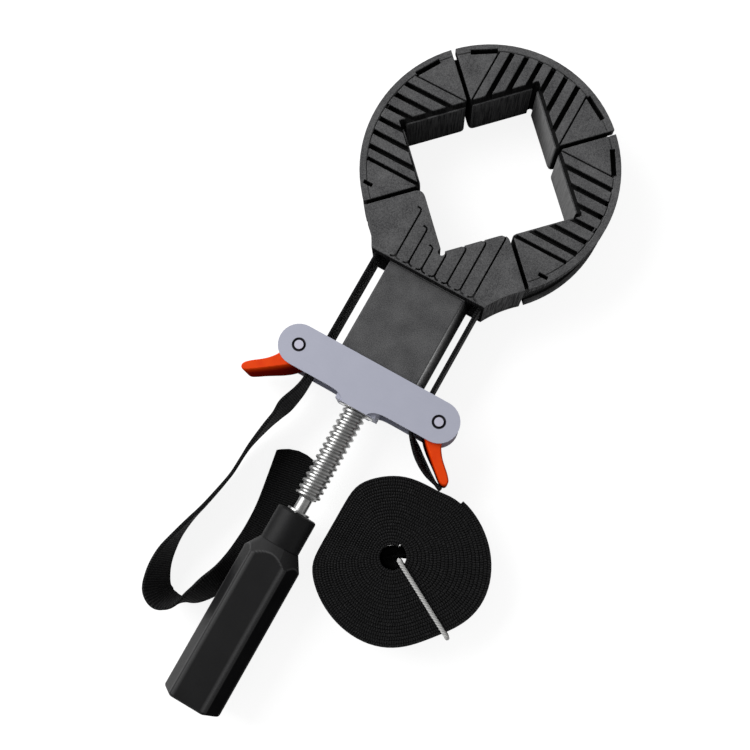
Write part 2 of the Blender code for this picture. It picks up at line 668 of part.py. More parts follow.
def handle():
    """A hexagonal bar kept inside a turned outline, so the shoulder leaves an arch on each flat."""
    corner = HANDLE_FLATS / 2 / math.cos(math.radians(30))
    hexagon = [
        (corner * math.cos(math.radians(60 * i)), corner * math.sin(math.radians(60 * i)) + AXIS_Z)
        for i in range(6)
    ]
    lay_down = Matrix.Rotation(math.radians(90), 4, "X")
    section = rounded(hexagon, HANDLE_CORNER_RADIUS)
    bar = prism("handle", section, HANDLE_FACE_Y - OVER, HANDLE_END_Y, STEM_PLASTIC, lay_down)
    start = HANDLE_FACE_Y
    shoulder = start + COLLAR_LENGTH
    full = shoulder + SHOULDER_LENGTH
    rounding = curve_through(
        (corner, HANDLE_END_Y - HANDLE_END_RADIUS),
        (corner, HANDLE_END_Y),
        (corner - HANDLE_END_RADIUS, HANDLE_END_Y),
        5,
    )
    outline = [(0, start), (COLLAR_RADIUS - COLLAR_CHAMFER, start)]
    outline += [(COLLAR_RADIUS, start + COLLAR_CHAMFER), (COLLAR_RADIUS, shoulder)]
    outline += [(corner, full)] + rounding[:-1]
    outline += [(corner - HANDLE_END_RADIUS, HANDLE_END_Y + OVER), (0, HANDLE_END_Y + OVER)]
    change(bar, turned("handle_form", outline, STEM_PLASTIC, 48), "INTERSECT")
    bore = SHANK_RADIUS + FIT
    deep = start + TAIL_IN_HANDLE + FIT
    hole = [(0, start - OVER), (bore, start - OVER), (bore, deep), (0, deep)]
    cut(bar, turned("handle_bore", hole, STEM_PLASTIC))
    bar.data.shade_smooth()
    bar.data.set_sharp_from_angle(angle=math.radians(30))
    return bar


def strap_loop():
    """The tight webbing: down both sides of the stem, and round the three free jaws."""
    bend, touch, along, touch_angle = strap_line()
    crossing, _ = gap_crossing()
    half_fit = FIT / 2
    run_end = crossing - along * half_fit
    run = [(STRAP_X, -CROSSBAR_Y + CROSSBAR_HALF_WIDTH + FIT)] + bend + [tuple(run_end)]
    grip = [(STRAP_X, -CROSSBAR_Y + CROSSBAR_HALF_WIDTH), (STRAP_X, -CORE_BACK_Y)]
    gap_end = 45 - math.degrees(half_fit / STRAP_RADIUS)
    round_jaw = [tuple(crossing + along * half_fit)]
    round_jaw += arc((0, 0), STRAP_RADIUS, touch_angle, gap_end, 20)
    for side, flip in (("right", list), ("left", mirrored)):
        strap_piece(f"strap_run_{side}", flip(run))
        strap_piece(f"strap_grip_{side}", flip(grip))
        strap_piece(f"strap_arc_{side}", flip(round_jaw))
    strap_piece("strap_arc_far", arc((0, 0), STRAP_RADIUS, 90 - gap_end, 90 + gap_end, 24))


def smooth_route(stations, steps):
    """Catmull-Rom curve through stations, each a tuple of numbers."""
    ends = [stations[0]] + list(stations) + [stations[-1]]
    route = []
    for i in range(len(stations) - 1):
        a, b, c, d = (Vector(p) for p in ends[i : i + 4])
        for k in range(steps):
            t = k / steps
            point = 2 * b + (c - a) * t + (2 * a - 5 * b + 4 * c - d) * t**2
            point += (3 * b - a - 3 * c + d) * t**3
            route.append(point / 2)
    return route + [Vector(stations[-1])]


def flat_strap(name, stations, steps=4):
    """Webbing along (x, y, lean, height) stations in millimetres and degrees.

    Lean 0 stands the webbing on its edge and 90 lays it flat, with its upper edge going to
    the right of the way it runs. Height is the clear height under its lower edge.
    """
    packed = [(x, y, lean / 10, height) for x, y, lean, height in stations]
    route = smooth_route(packed, steps)
    bm = bmesh.new()
    rings = []
    for i, (x, y, lean, height) in enumerate(route):
        before = route[max(i - 1, 0)]
        after = route[min(i + 1, len(route) - 1)]
        along = Vector((after[0] - before[0], after[1] - before[1], 0)).normalized()
        right = Vector((along.y, -along.x, 0))
        angle = math.radians(lean * 10)
        wide = right * math.sin(angle) + Vector((0, 0, math.cos(angle)))
        thick = right * math.cos(angle) - Vector((0, 0, math.sin(angle)))
        wide *= STRAP_WIDTH / 2
        thick *= STRAP_THICKNESS / 2
        half_height = abs(wide.z) + abs(thick.z)
        centre = Vector((x * MM, y * MM, height * MM + half_height))
        corners = (wide + thick, wide - thick, -wide - thick, -wide + thick)
        rings.append([bm.verts.new(centre + corner) for corner in corners])
    for one, two in zip(rings, rings[1:]):
        for k in range(4):
            bm.faces.new((one[k], one[k - 1], two[k - 1], two[k]))
    bm.faces.new(rings[0])
    bm.faces.new(rings[-1])
    return add_object(name, bm, WEBBING)


# The tail leaves the left cam, runs back beside the screw, turns and ends under the handle.
TAIL_STATIONS = [
    (-26.2, -119.1, 0, 6.5),
    (-26.3, -123.5, 1, 6.4),
    (-27.1, -128.9, 4, 6.0),
    (-29.3, -136.7, 8, 5.0),
    (-30.7, -142.9, 1, 4.2),
    (-32.5, -149.2, -3, 3.2),
    (-34.7, -159.6, -8, 1.9),
    (-35.4, -167.0, -10, 1.2),
    (-35.9, -175.2, -10, 0.7),
    (-37.4, -183.8, -9, 0.4),
    (-39.6, -193.7, -8, 0.2),
    (-41.8, -201.8, -6, 0.1),
    (-43.5, -210.4, -1, 0.1),
    (-44.2, -218.2, 7, 0.1),
    (-43.7, -225.0, 13, 0.1),
    (-42.1, -231.0, 19, 0.1),
    (-39.4, -236.0, 24, 0.1),
    (-34.8, -239.0, 18, 0.1),
    (-30.2, -238.0, 12, 0.1),
    (-26.6, -235.8, 20, 0.1),
    (-23.6, -232.2, 44, 0.1),
    (-22.0, -229.0, 62, 0.1),
    (-19.6, -225.2, 80, 0.1),
    (-14.2, -218.4, 90, 0.1),
    (-9.8, -207.3, 90, 0.1),
    (-9.2, -194.0, 90, 0.1),
    (-10.6, -179.7, 90, 0.1),
    (-12.9, -166.2, 90, 0.1),
    (-15.4, -152.6, 90, 0.1),
]

# The lead leaves the right cam, drops to the table and joins the roll's outer turn.
LEAD_STATIONS = [
    (26.2, -119.1, 0, 6.5),
    (26.3, -120.3, 0, 6.5),
    (27.8, -122.3, 1, 6.3),
    (30.4, -124.7, 4, 5.8),
    (34.0, -127.7, 8, 4.8),
    (37.8, -130.5, 6, 3.4),
    (41.8, -133.0, 3, 1.8),
    (45.8, -134.7, 0, 0.6),
    (50.2, -135.5, 0, 0.1),
]


def pressed(distance):
    """Falls to nothing smoothly as a distance does, and stays there, like a pressed edge."""
    return COIL_SOFTNESS * math.log1p(math.exp(distance / COIL_SOFTNESS))


def coil_outline():
    """The roll seen from above: an oval, pulled in by its tie and pressed flat on two sides."""
    points = []
    steps = 72
    for i in range(steps):
        angle = 360 * i / steps
        away = (angle - PINCH_ANGLE + 180) % 360 - 180
        pinch = COIL_PINCH * math.exp(-((away / PINCH_SPREAD) ** 2))
        turn = math.radians(angle)
        x = COIL_CENTRE.x + (COIL_HALF_X - pinch) * math.cos(turn)
        y = COIL_CENTRE.y + (COIL_HALF_Y - pinch) * math.sin(turn)
        past = x - COIL_STEP.x
        top = COIL_STEP.y + COIL_STEP_RISE * past if past > 0 else COIL_TOP
        points.append((COIL_LEFT + pressed(x - COIL_LEFT), top - pressed(top - y)))
    return points


def tie_line():
    """Where the tie starts in the roll's hole, and the way it runs."""
    along = Vector((math.cos(math.radians(TIE_ANGLE)), math.sin(math.radians(TIE_ANGLE))))
    return COIL_HOLE + Vector((-along.y, along.x)) * TIE_ASIDE, along


def strap_coil():
    coil = prism("strap_coil", coil_outline(), LIFT, STRAP_WIDTH, WEBBING)
    hole = circle(COIL_HOLE, COIL_HOLE_RADIUS, 20)
    cut(coil, prism("coil_hole", hole, -OVER, STRAP_WIDTH + OVER, WEBBING))
    room = 2 * (TIE_RADIUS + FIT)
    start, along = tie_line()
    groove = ribbon([start, start + along * 1.3 * COIL_HALF_X], room)
    cut(coil, prism("tie_groove", groove, -OVER, room, WEBBING))
    return coil


def coil_tie():
    """A cord looped once round the roll's turns, out of its hole and under it."""
    start, along = tie_line()
    rim = [Vector(point) - start for point in coil_outline()]
    across_tie = [point for point in rim if abs(point.cross(along)) < 2 * TIE_RADIUS + OVER]
    inner = math.sqrt((COIL_HOLE_RADIUS - TIE_RADIUS - FIT) ** 2 - TIE_ASIDE**2)
    outer = max(point.dot(along) for point in across_tie) + TIE_RADIUS + FIT
    low, high = LIFT + TIE_RADIUS, STRAP_WIDTH + TIE_RADIUS + FIT
    corners = rounded([(inner, low), (outer, low), (outer, high), (inner, high)], TIE_BEND)
    curve = bpy.data.curves.new("coil_tie", "CURVE")
    curve.dimensions = "3D"
    curve.bevel_depth = TIE_RADIUS
    curve.bevel_resolution = 2
    spline = curve.splines.new("POLY")
    spline.points.add(len(corners) - 1)
    for point, (out, z) in zip(spline.points, corners):
        place = start + along * out
        point.co = (place.x, place.y, z, 1)
    spline.use_cyclic_u = True
    obj = bpy.data.objects.new("coil_tie", curve)
    curve.materials.append(finish_of(CORD))
    bpy.context.scene.collection.objects.link(obj)
    obj.parent = bpy.data.objects["clamp"]


def build():
    clear_scene()
    clamp = bpy.data.objects.new("clamp", None)
    clamp.location = (0, HALF_LENGTH_SHIFT, 0)
    bpy.context.scene.collection.objects.link(clamp)

    corner_jaw("corner_jaw_right", 0, -1)
    corner_jaw("corner_jaw_far", 90, 0)
    corner_jaw("corner_jaw_left", 180, 1)
    fixed_jaw_and_stem()
    stem_pins()
    crossbar()
    cam_lever("left", LEVER_ANGLE_LEFT)
    cam_lever("right", LEVER_ANGLE_RIGHT)
    spindle()
    handle()
    strap_loop()
    flat_strap("strap_tail", TAIL_STATIONS)
    flat_strap("strap_lead", LEAD_STATIONS)
    strap_coil()
    coil_tie()


build()
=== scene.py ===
"""Band clamp for frame corners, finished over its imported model: webbing, jaws, crossbar, screw."""

import math

import bmesh
import bpy
from mathutils import Matrix, Vector


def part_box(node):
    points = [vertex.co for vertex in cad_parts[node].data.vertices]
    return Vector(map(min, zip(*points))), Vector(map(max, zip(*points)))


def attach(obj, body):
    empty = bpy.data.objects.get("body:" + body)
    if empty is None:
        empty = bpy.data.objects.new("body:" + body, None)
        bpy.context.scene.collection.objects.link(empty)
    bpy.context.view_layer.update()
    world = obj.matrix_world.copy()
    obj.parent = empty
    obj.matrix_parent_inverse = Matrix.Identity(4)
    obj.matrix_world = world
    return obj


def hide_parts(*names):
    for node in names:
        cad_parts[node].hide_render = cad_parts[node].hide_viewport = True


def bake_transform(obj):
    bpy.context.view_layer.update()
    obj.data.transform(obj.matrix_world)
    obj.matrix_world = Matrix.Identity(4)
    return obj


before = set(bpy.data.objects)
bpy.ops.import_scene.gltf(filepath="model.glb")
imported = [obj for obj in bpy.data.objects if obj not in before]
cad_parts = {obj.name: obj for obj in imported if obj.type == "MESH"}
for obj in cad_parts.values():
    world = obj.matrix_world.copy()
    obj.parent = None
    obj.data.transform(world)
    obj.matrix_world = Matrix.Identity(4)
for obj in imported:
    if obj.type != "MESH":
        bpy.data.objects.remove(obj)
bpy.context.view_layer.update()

MM = 0.001

# The camera looks down on the clamp from above its handle, turned a third of a right angle, so
# that the handle runs to the lower left of the picture.
CAMERA_PLACE = Vector((52.976, -54.869, 507.832)) * MM
CAMERA_TURN = [math.radians(a) for a in (8.61, 2.271, 29.418)]
CAMERA_LENS = 52.8

camera = bpy.data.objects.new("camera", bpy.data.cameras.new("camera"))
bpy.context.scene.collection.objects.link(camera)
camera.location = CAMERA_PLACE
camera.rotation_euler = CAMERA_TURN
camera.data.lens = CAMERA_LENS
camera.data.sensor_width = 36
camera.data.clip_start = 0.01
bpy.context.scene.camera = camera


# Loose webbing: one 20 mm polyester band, woven flat with a beaded edge on both sides. Its tail
# stands on its edge on the table, turns back and ends under the screw.
STRAP_RADIUS = 55.5 * MM
STRAP_WIDTH = 20 * MM
STRAP_THICKNESS = 1.7 * MM
STRAP_X = 26.2 * MM
STRAP_BACK_Y = -119.1 * MM  # from the middle of the ring, as every length along Y here
RIB_PITCH = 1.05 * MM
TAIL_END_ROUND = 3.0 * MM  # how far the cut end's corners stand back
YARN_PITCH = 1.3 * MM
WEBBING_COLOUR = (0.0016, 0.0016, 0.0018, 1)
# pale colour of the painted highlight on the webbing's rib tops
WEBBING_HIGHLIGHT = (0.040, 0.040, 0.041, 1)
# across the width and through the thickness, as shares of half of each
STRAP_SECTION = [
    (0.0, 0.86),
    (0.45, 0.86),
    (0.78, 0.88),
    (0.9, 1.0),
    (0.975, 0.8),
    (1.0, 0.3),
]
TAIL_STATIONS = [
    (-26.2, -119.1, 0, 6.5),
    (-26.3, -123.5, 1, 6.4),
    (-27.1, -128.9, 4, 6.0),
    (-29.3, -136.7, 8, 5.0),
    (-30.7, -142.9, 1, 4.2),
    (-32.5, -149.2, -3, 3.2),
    (-34.7, -159.6, -8, 1.9),
    (-35.4, -167.0, -10, 1.2),
    (-35.9, -175.2, -10, 0.7),
    (-37.4, -183.8, -9, 0.4),
    (-39.6, -193.7, -8, 0.2),
    (-41.8, -201.8, -6, 0.1),
    (-43.5, -210.4, -1, 0.1),
    (-44.2, -218.2, 7, 0.1),
    (-43.7, -225.0, 13, 0.1),
    (-42.1, -231.0, 19, 0.1),
    (-39.4, -236.2, 25, 0.1),
    (-35.3, -238.5, 26, 0.1),
    (-31.3, -238.0, 18, 0.1),
    (-28.4, -236.7, 9, 0.1),
    (-26.0, -235.0, -3, 0.1),
    (-23.5, -232.0, -14, 0.1),
    (-21.0, -227.8, -21, 0.1),
    (-18.8, -223.4, -28, 0.1),
    (-14.0, -216.4, -47, 0.1),
    (-11.0, -208.6, -66, 0.1),
    (-10.0, -199.3, -81, 0.1),
    (-10.0, -190.2, -89, 0.1),
    (-10.7, -179.9, -90, 0.1),
    (-12.9, -166.2, -90, 0.1),
    (-15.6, -151.4, -90, 0.1),
]
LEAD_STATIONS = [
    (26.2, -119.1, 0, 6.5),
    (26.4, -120.1, 1, 6.5),
    (27.9, -121.6, 4, 6.4),
    (31.0, -124.3, 8, 5.6),
    (34.4, -127.3, 10, 4.4),
    (38.0, -129.9, 10, 3.0),
    (41.6, -132.1, 8, 1.6),
    (44.6, -133.5, 5, 0.7),
    (47.4, -134.6, 2, 0.2),
    (50.2, -135.5, 0, 0.1),
]

jaw_low, jaw_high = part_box("corner_jaw_right")
RING_Y = (jaw_low.y + jaw_high.y) / 2
AXIS_Z = jaw_high.z / 2


class Value:
    """A socket of a material. It can be used in sums like a number, and adds the nodes for them."""

    def __init__(self, tree, socket=None):
        self.tree = tree
        self.socket = socket

    def node(self, kind, settings=None, values=None, outlet=0):
        """Adds a node: first its settings, then the values or links of its sockets."""
        made = self.tree.nodes.new(kind)
        for name, setting in (settings or {}).items():
            if name == "stops":
                stops = made.color_ramp.elements
                while len(stops) < len(setting):
                    stops.new(1.0)
                for stop, (position, colour) in zip(stops, setting):
                    stop.position = position
                    stop.color = colour
            else:
                setattr(made, name, setting)
        for name, value in (values or {}).items():
            if isinstance(value, Value):
                self.tree.links.new(value.socket, made.inputs[name])
            else:
                made.inputs[name].default_value = value
        return Value(self.tree, made.outputs[outlet])

    def maths(self, operation, *others):
        """A Math node on this value and any others."""
        values = dict(enumerate((self, *others)))
        return self.node("ShaderNodeMath", {"operation": operation}, values)

    def __add__(self, other):
        return self.maths("ADD", other)

    def __sub__(self, other):
        return self.maths("SUBTRACT", other)

    def __rsub__(self, other):
        return self * -1 + other

    def __mul__(self, other):
        return self.maths("MULTIPLY", other)

    def __truediv__(self, other):
        return self.maths("DIVIDE", other)

    def __pow__(self, other):
        return self.maths("POWER", other)

    __radd__ = __add__
    __rmul__ = __mul__

    def kept_between(self, low, high):
        return self.maths("MAXIMUM", low).maths("MINIMUM", high)

    def wave(self, pitch):
        """A ripple from 0 to 1 that repeats at the pitch."""
        return (self * (math.tau / pitch)).maths("SINE") * 0.5 + 0.5

    def blended(self, first, second):
        """Colour that goes from the first to the second as this value goes from 0 to 1."""
        return self.node(
            "ShaderNodeMix", {"data_type": "RGBA"}, {0: self, 6: first, 7: second}, outlet=2
        )

    def relief(self, depth):
        """Normal of a surface that stands up by this value, from 0 to 1, times the depth."""
        return self.node("ShaderNodeBump", None, {"Distance": depth, "Height": self})

    def split(self):
        """The three parts of a vector."""
        parts = self.node("ShaderNodeSeparateXYZ", None, {0: self})
        return [Value(self.tree, socket) for socket in parts.socket.node.outputs]

    def noise(self, size, detail=2.0):
        """Cloudy noise from 0 to 1, with lumps of about the size, in the space of this vector."""
        return self.node(
            "ShaderNodeTexNoise", None, {"Vector": self, "Scale": 1 / size, "Detail": detail}
        )

    def stretched(self, x, y, z):
        """The vector with each part multiplied."""
        return self.node("ShaderNodeVectorMath", {"operation": "MULTIPLY"}, {0: self, 1: (x, y, z)})


def new_material(name, metallic=0.0, specular=0.5):
    """A material's shader, its material and an empty value that starts its sums."""
    material = bpy.data.materials.new(name)
    material.use_nodes = True
    shader = material.node_tree.nodes["Principled BSDF"]
    shader.inputs["Metallic"].default_value = metallic
    shader.inputs["Specular IOR Level"].default_value = specular
    return material, Value(material.node_tree)


def finish(material, **values):
    """Sets or links the shader's sockets, named with low lines for spaces."""
    tree = material.node_tree
    shader = tree.nodes["Principled BSDF"]
    for name, value in values.items():
        socket = shader.inputs[name.replace("_", " ").title()]
        if isinstance(value, Value):
            tree.links.new(value.socket, socket)
        else:
            socket.default_value = value
    return material


def webbing():
    """Black polyester, with a rib across it at every weft and the warp yarns in twill steps."""
    material, start = new_material("webbing", specular=0.12)
    along, across, _ = start.node("ShaderNodeUVMap", {"uv_map": "weave"}).split()
    yarns = across.wave(YARN_PITCH)
    place = start.node("ShaderNodeTexCoord", outlet=3)
    fluff = place.noise(0.35 * MM, 3.0)
    weave = along.wave(RIB_PITCH) * (0.7 + 0.3 * yarns)
    sparkle = ((place.noise(0.42 * MM, 1.0) - 0.52) * 5).kept_between(0, 1)
    # painted highlight: the ribs' tops and the random sparkle are coloured paler
    shine = (weave**2 * (0.3 + 0.5 * fluff) + 0.5 * sparkle).kept_between(0, 1)
    return finish(
        material,
        base_color=shine.blended(WEBBING_COLOUR, WEBBING_HIGHLIGHT),
        roughness=0.95 - 0.25 * shine,
        normal=(0.7 * weave + 0.3 * fluff).relief(0.2 * MM),
    )


webbing_material = webbing()


def lay(obj, material, body, slot, *replaced):
    """Gives a finished piece its material, its body and the nodes it stands for; the slot is not used."""
    if material not in obj.data.materials[:]:
        obj.data.materials.append(material)
    if body:
        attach(obj, body)
    if replaced:
        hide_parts(*replaced)
    return obj


def repaint(obj, material, chosen):
    """Gives a second material to the chosen faces."""
    obj.data.materials.append(material)
    for face in obj.data.polygons:
        face.material_index = int(chosen(face))


def mesh_object(name, bm, smooth_angle=40):
    mesh = bpy.data.meshes.new(name)
    bm.to_mesh(mesh)
    bm.free()
    mesh.shade_smooth()
    mesh.set_sharp_from_angle(angle=math.radians(smooth_angle))
    obj = bpy.data.objects.new(name, mesh)
    bpy.context.scene.collection.objects.link(obj)
    return obj


def band(name, rings, half_width=STRAP_WIDTH / 2, half_thick=STRAP_THICKNESS / 2, end_round=0):
    """Webbing through (middle, way across, way out) rings, with its length and width as UVs."""
    half = STRAP_SECTION + [(a, -t) for a, t in reversed(STRAP_SECTION[1:])]
    section = half + [(0.0, -STRAP_SECTION[0][1])] + [(-a, t) for a, t in reversed(half[1:])]
    thick = half_thick if isinstance(half_thick, list) else [half_thick] * len(rings)
    count = len(section)
    round_it = [0.0]
    for (a, t), (b, u) in zip(section, section[1:] + section[:1]):
        round_it.append(round_it[-1] + math.hypot((b - a) * half_width, (u - t) * thick[0]))
    bm = bmesh.new()
    weave = bm.loops.layers.uv.new("weave")
    rows, lengths = [], [0.0]
    for i, (middle, across, out) in enumerate(rings):
        row = [middle + across * (a * half_width) + out * (t * thick[i]) for a, t in section]
        if end_round and i == len(rings) - 1:
            back = (rings[i - 1][0] - middle).normalized()
            row = [spot + back * end_round * a * a for spot, (a, _) in zip(row, section)]
        rows.append([bm.verts.new(spot) for spot in row])
        if i:
            lengths.append(lengths[-1] + (middle - rings[i - 1][0]).length)
    for i in range(len(rows) - 1):
        for k in range(count):
            n = (k + 1) % count
            face = bm.faces.new((rows[i][k], rows[i][n], rows[i + 1][n], rows[i + 1][k]))
            spots = ((i, k), (i, k + 1), (i + 1, k + 1), (i + 1, k))
            for loop, (row, column) in zip(face.loops, spots):
                loop[weave].uv = (lengths[row], round_it[column])
    for row, place in ((rows[0], 0), (rows[-1], lengths[-1])):
        face = bm.faces.new(row)
        for loop, column in zip(face.loops, range(count)):
            loop[weave].uv = (place, round_it[column])
    bmesh.ops.recalc_face_normals(bm, faces=bm.faces)
    return mesh_object(name, bm)


def smooth_route(stations, steps):
    """Catmull-Rom curve through stations, each a tuple of numbers."""
    ends = [stations[0]] + list(stations) + [stations[-1]]
    route = []
    for i in range(len(stations) - 1):
        a, b, c, d = (Vector(p) for p in ends[i : i + 4])
        for k in range(steps):
            t = k / steps
            point = 2 * b + (c - a) * t + (2 * a - 5 * b + 4 * c - d) * t**2
            point += (3 * b - a - 3 * c + d) * t**3
            route.append(point / 2)
    return route + [Vector(stations[-1])]


def lying_rings(stations, steps=10):
    """Rings for (x, y, lean, height) stations: lean 0 stands on its edge and 90 lies flat."""
    packed = [(x, y, lean / 10, height) for x, y, lean, height in stations]
    route = smooth_route(packed, steps)
    rings = []
    for i, (x, y, lean, height) in enumerate(route):
        before, after = route[max(i - 1, 0)], route[min(i + 1, len(route) - 1)]
        along = Vector((after[0] - before[0], after[1] - before[1], 0)).normalized()
        right = Vector((along.y, -along.x, 0))
        angle = math.radians(lean * 10)
        across = right * math.sin(angle) + Vector((0, 0, math.cos(angle)))
        out = right * math.cos(angle) - Vector((0, 0, math.sin(angle)))
        rise = abs(across.z) * STRAP_WIDTH / 2 + abs(out.z) * STRAP_THICKNESS / 2
        middle = Vector((x * MM, y * MM + RING_Y, height * MM + rise))
        rings.append((middle, across, out))
    return rings


def run_length(rings):
    return sum((b[0] - a[0]).length for a, b in zip(rings, rings[1:]))


tail_rings = lying_rings(TAIL_STATIONS)
tail_rings = tail_rings[:-3] + tail_rings[-1:]
tail = band("webbing_tail", tail_rings, end_round=TAIL_END_ROUND)
lay(tail, webbing_material, "crossbar", "webbing", "strap_tail")
round(run_length(tail_rings), 3)


# Roll of spare webbing: the lead comes from the right-hand cam, drops to the table and winds
# into a flat spiral round an open hole, pressed against the handle's side of the clamp.
ROLL_CENTRE = Vector((50.0 * MM, -172.3 * MM))
ROLL_HALF_X = 41 * MM
ROLL_HALF_Y = 39 * MM
ROLL_LEFT = 14.6 * MM
ROLL_TOP = Vector((50.8 * MM, -134.6 * MM))
ROLL_TOP_RISE = 0.25
ROLL_SOFTNESS = 1.6 * MM
ROLL_HOLE = Vector((45.9 * MM, -172.0 * MM))
ROLL_HOLE_RADIUS = 4.9 * MM
ROLL_PINCH = 4.2 * MM
PINCH_ANGLE = -37
PINCH_SPREAD = 30
ROLL_TURNS = 22
ROLL_STEPS = 90
ROLL_THICKNESS = 1.6 * MM  # wound tight, the webbing is pressed thinner
ROLL_PRESSED = 1.03  # of the room between a turn and the next
ROLL_WANDER = 0.03 * MM
WANDER_LENGTH = 23.0  # degrees of winding for each radian of the wander
ROLL_FIRST_STEP = 4  # leaves room for the lead's end
ROLL_LIFT = 0.1 * MM
FIT = 0.3 * MM


def pressed(distance):
    """Falls to nothing smoothly as a distance does, and stays there, like a pressed edge."""
    return ROLL_SOFTNESS * math.log1p(math.exp(distance / ROLL_SOFTNESS))


def roll_rim(angle):
    """The roll's edge at an angle in degrees: an oval, pinched by its tie and pressed flat."""
    away = (angle - PINCH_ANGLE + 180) % 360 - 180
    pinch = ROLL_PINCH * math.exp(-((away / PINCH_SPREAD) ** 2))
    x = ROLL_CENTRE.x + (ROLL_HALF_X - pinch) * math.cos(math.radians(angle))
    y = ROLL_CENTRE.y + (ROLL_HALF_Y - pinch) * math.sin(math.radians(angle))
    top = ROLL_TOP.y + ROLL_TOP_RISE * max(x - ROLL_TOP.x, 0)
    return Vector((ROLL_LEFT + pressed(x - ROLL_LEFT), top - pressed(top - y)))


def roll_points():
    """The middle of the webbing from the lead's end round and round to the hole."""
    points = []
    lead_end = Vector(LEAD_STATIONS[-1][:2]) * MM
    start = math.degrees(math.atan2(lead_end.y - ROLL_CENTRE.y, lead_end.x - ROLL_CENTRE.x))
    hole = ROLL_HOLE_RADIUS + ROLL_THICKNESS / 2
    total = ROLL_TURNS * ROLL_STEPS
    for i in range(ROLL_FIRST_STEP, total + 1):
        angle = start - 360 * i / ROLL_STEPS
        turn = Vector((math.cos(math.radians(angle)), math.sin(math.radians(angle))))
        rim = roll_rim(angle) - turn * (ROLL_THICKNESS / 2 + FIT)
        share = 1 - i / total
        inner = ROLL_HOLE + turn * hole
        wander = ROLL_WANDER * math.sin(angle / WANDER_LENGTH) * share * (1 - share) * 4
        points.append(inner.lerp(rim, share) + turn * wander)
    return points


def roll_thickness(points):
    """Half of the webbing's thickness at each point: turns touch, so the roll has no gaps."""
    halves = []
    for i, point in enumerate(points):
        gaps = [
            (points[j] - point).length
            for j in (i - ROLL_STEPS, i + ROLL_STEPS)
            if 0 <= j < len(points)
        ]
        gap = sum(gaps) / len(gaps)
        halves.append((gap if gap < 2 * ROLL_THICKNESS else ROLL_THICKNESS) * ROLL_PRESSED / 2)
    return halves


def standing_rings(points, middle_z):
    """Rings of webbing that stands on its edge along a line of (x, y) points."""
    rings = []
    for i, here in enumerate(points):
        before, after = points[max(i - 1, 0)], points[min(i + 1, len(points) - 1)]
        along = (Vector(after) - Vector(before)).normalized()
        out = Vector((along.y, -along.x, 0))
        rings.append((Vector((here[0], here[1] + RING_Y, middle_z)), Vector((0, 0, 1)), out))
    return rings


lead_rings = lying_rings(LEAD_STATIONS)
roll_line = roll_points()
roll_rings = standing_rings(roll_line, ROLL_LIFT + STRAP_WIDTH / 2)
lead = band("webbing_lead", lead_rings)
lay(lead, webbing_material, "crossbar", "webbing", "strap_lead")
roll = band("webbing_roll", roll_rings, STRAP_WIDTH / 2 - FIT / 2, roll_thickness(roll_line))
lay(roll, webbing_material, "crossbar", "webbing", "strap_coil")
round(run_length(roll_rings), 3)


# Tucked end: the last of the webbing is crumpled into the roll's hole, beside the tie. It fills
# the hole up to the inmost turn.
TUCK_HEIGHT = 11 * MM
TUCK_CREASE = 2.2 * MM
CREASE_HALF = 0.8 * MM
CREASE_NORMAL = Vector((-0.6, 0.8))
TUCK_ROOM = 0.08 * MM
TIE_PLACE = Vector((3.55 * MM, 0))  # from the hole's middle
TIE_ROOM = 1.2 * MM
# how far out each row lies, as a share, and how far below the top, in mm
TUCK_ROWS = [(0.02, 0), (0.35, 0), (0.7, 0), (0.9, 0.4), (1.0, 1.2), (1.0, 9), (0.05, 10.5)]
TUCK_FOOT = 9  # rows this far below the top aren't creased


def tuck_spokes():
    """From the hole's middle to each point of its wall, cut short in front of the tie."""
    spokes = []
    halves = roll_thickness(roll_line)[-ROLL_STEPS:]
    for point, half in zip(roll_line[-ROLL_STEPS:], halves):
        spoke = point - ROLL_HOLE
        way = spoke.normalized()
        reach = spoke.length - half - TUCK_ROOM
        aside = abs(TIE_PLACE.cross(way))
        if TIE_PLACE.dot(way) > 0 and aside < TIE_ROOM:
            reach = TIE_PLACE.dot(way) - math.sqrt(TIE_ROOM**2 - aside**2)
        spokes.append(way * reach)
    return spokes


def tuck_mesh():
    bm = bmesh.new()
    rows = []
    for share, below in TUCK_ROWS:
        row = []
        for spoke in tuck_spokes():
            flat = spoke * share
            across = flat.dot(CREASE_NORMAL)
            crease = TUCK_CREASE * math.exp(-((across / CREASE_HALF) ** 2)) * (below < TUCK_FOOT)
            place = ROLL_HOLE + flat
            row.append(bm.verts.new((place.x, place.y + RING_Y, TUCK_HEIGHT - below * MM + crease)))
        rows.append(row)
    for one, two in zip(rows, rows[1:]):
        for k in range(ROLL_STEPS):
            n = (k + 1) % ROLL_STEPS
            bm.faces.new((one[k], one[n], two[n], two[k]))
    bm.faces.new(rows[0])
    bm.faces.new(rows[-1])
    bmesh.ops.recalc_face_normals(bm, faces=bm.faces)
    return mesh_object("webbing_end", bm)


lay(tuck_mesh(), webbing_material, "crossbar", "webbing")


# Tie of the roll: a light grey cord of three strands in one loop, out of the hole, over the
# turns and back under them, where the turns' lower edges close over it.
TIE_ANGLE = -28.5
TIE_RADIUS = 1.05 * MM
TIE_ASIDE = 1.7 * MM
TIE_BEND = 1.2 * MM
TIE_STRANDS = 3
TIE_LAY = 4.2 * MM  # length in which a strand goes once round
TIE_COLOUR = (0.72, 0.72, 0.70, 1)
TIE_SHADE = (0.34, 0.34, 0.34, 1)


def tie_material():
    """Grey polyester yarn with fine fibres along each strand."""
    material, start = new_material("tie_yarn", specular=0.3)
    place = start.node("ShaderNodeTexCoord", outlet=3)
    fibres = place.noise(0.18 * MM, 3.0)
    return finish(
        material,
        base_color=fibres.blended(TIE_SHADE, TIE_COLOUR),
        roughness=0.85,
        normal=fibres.relief(0.05 * MM),
    )


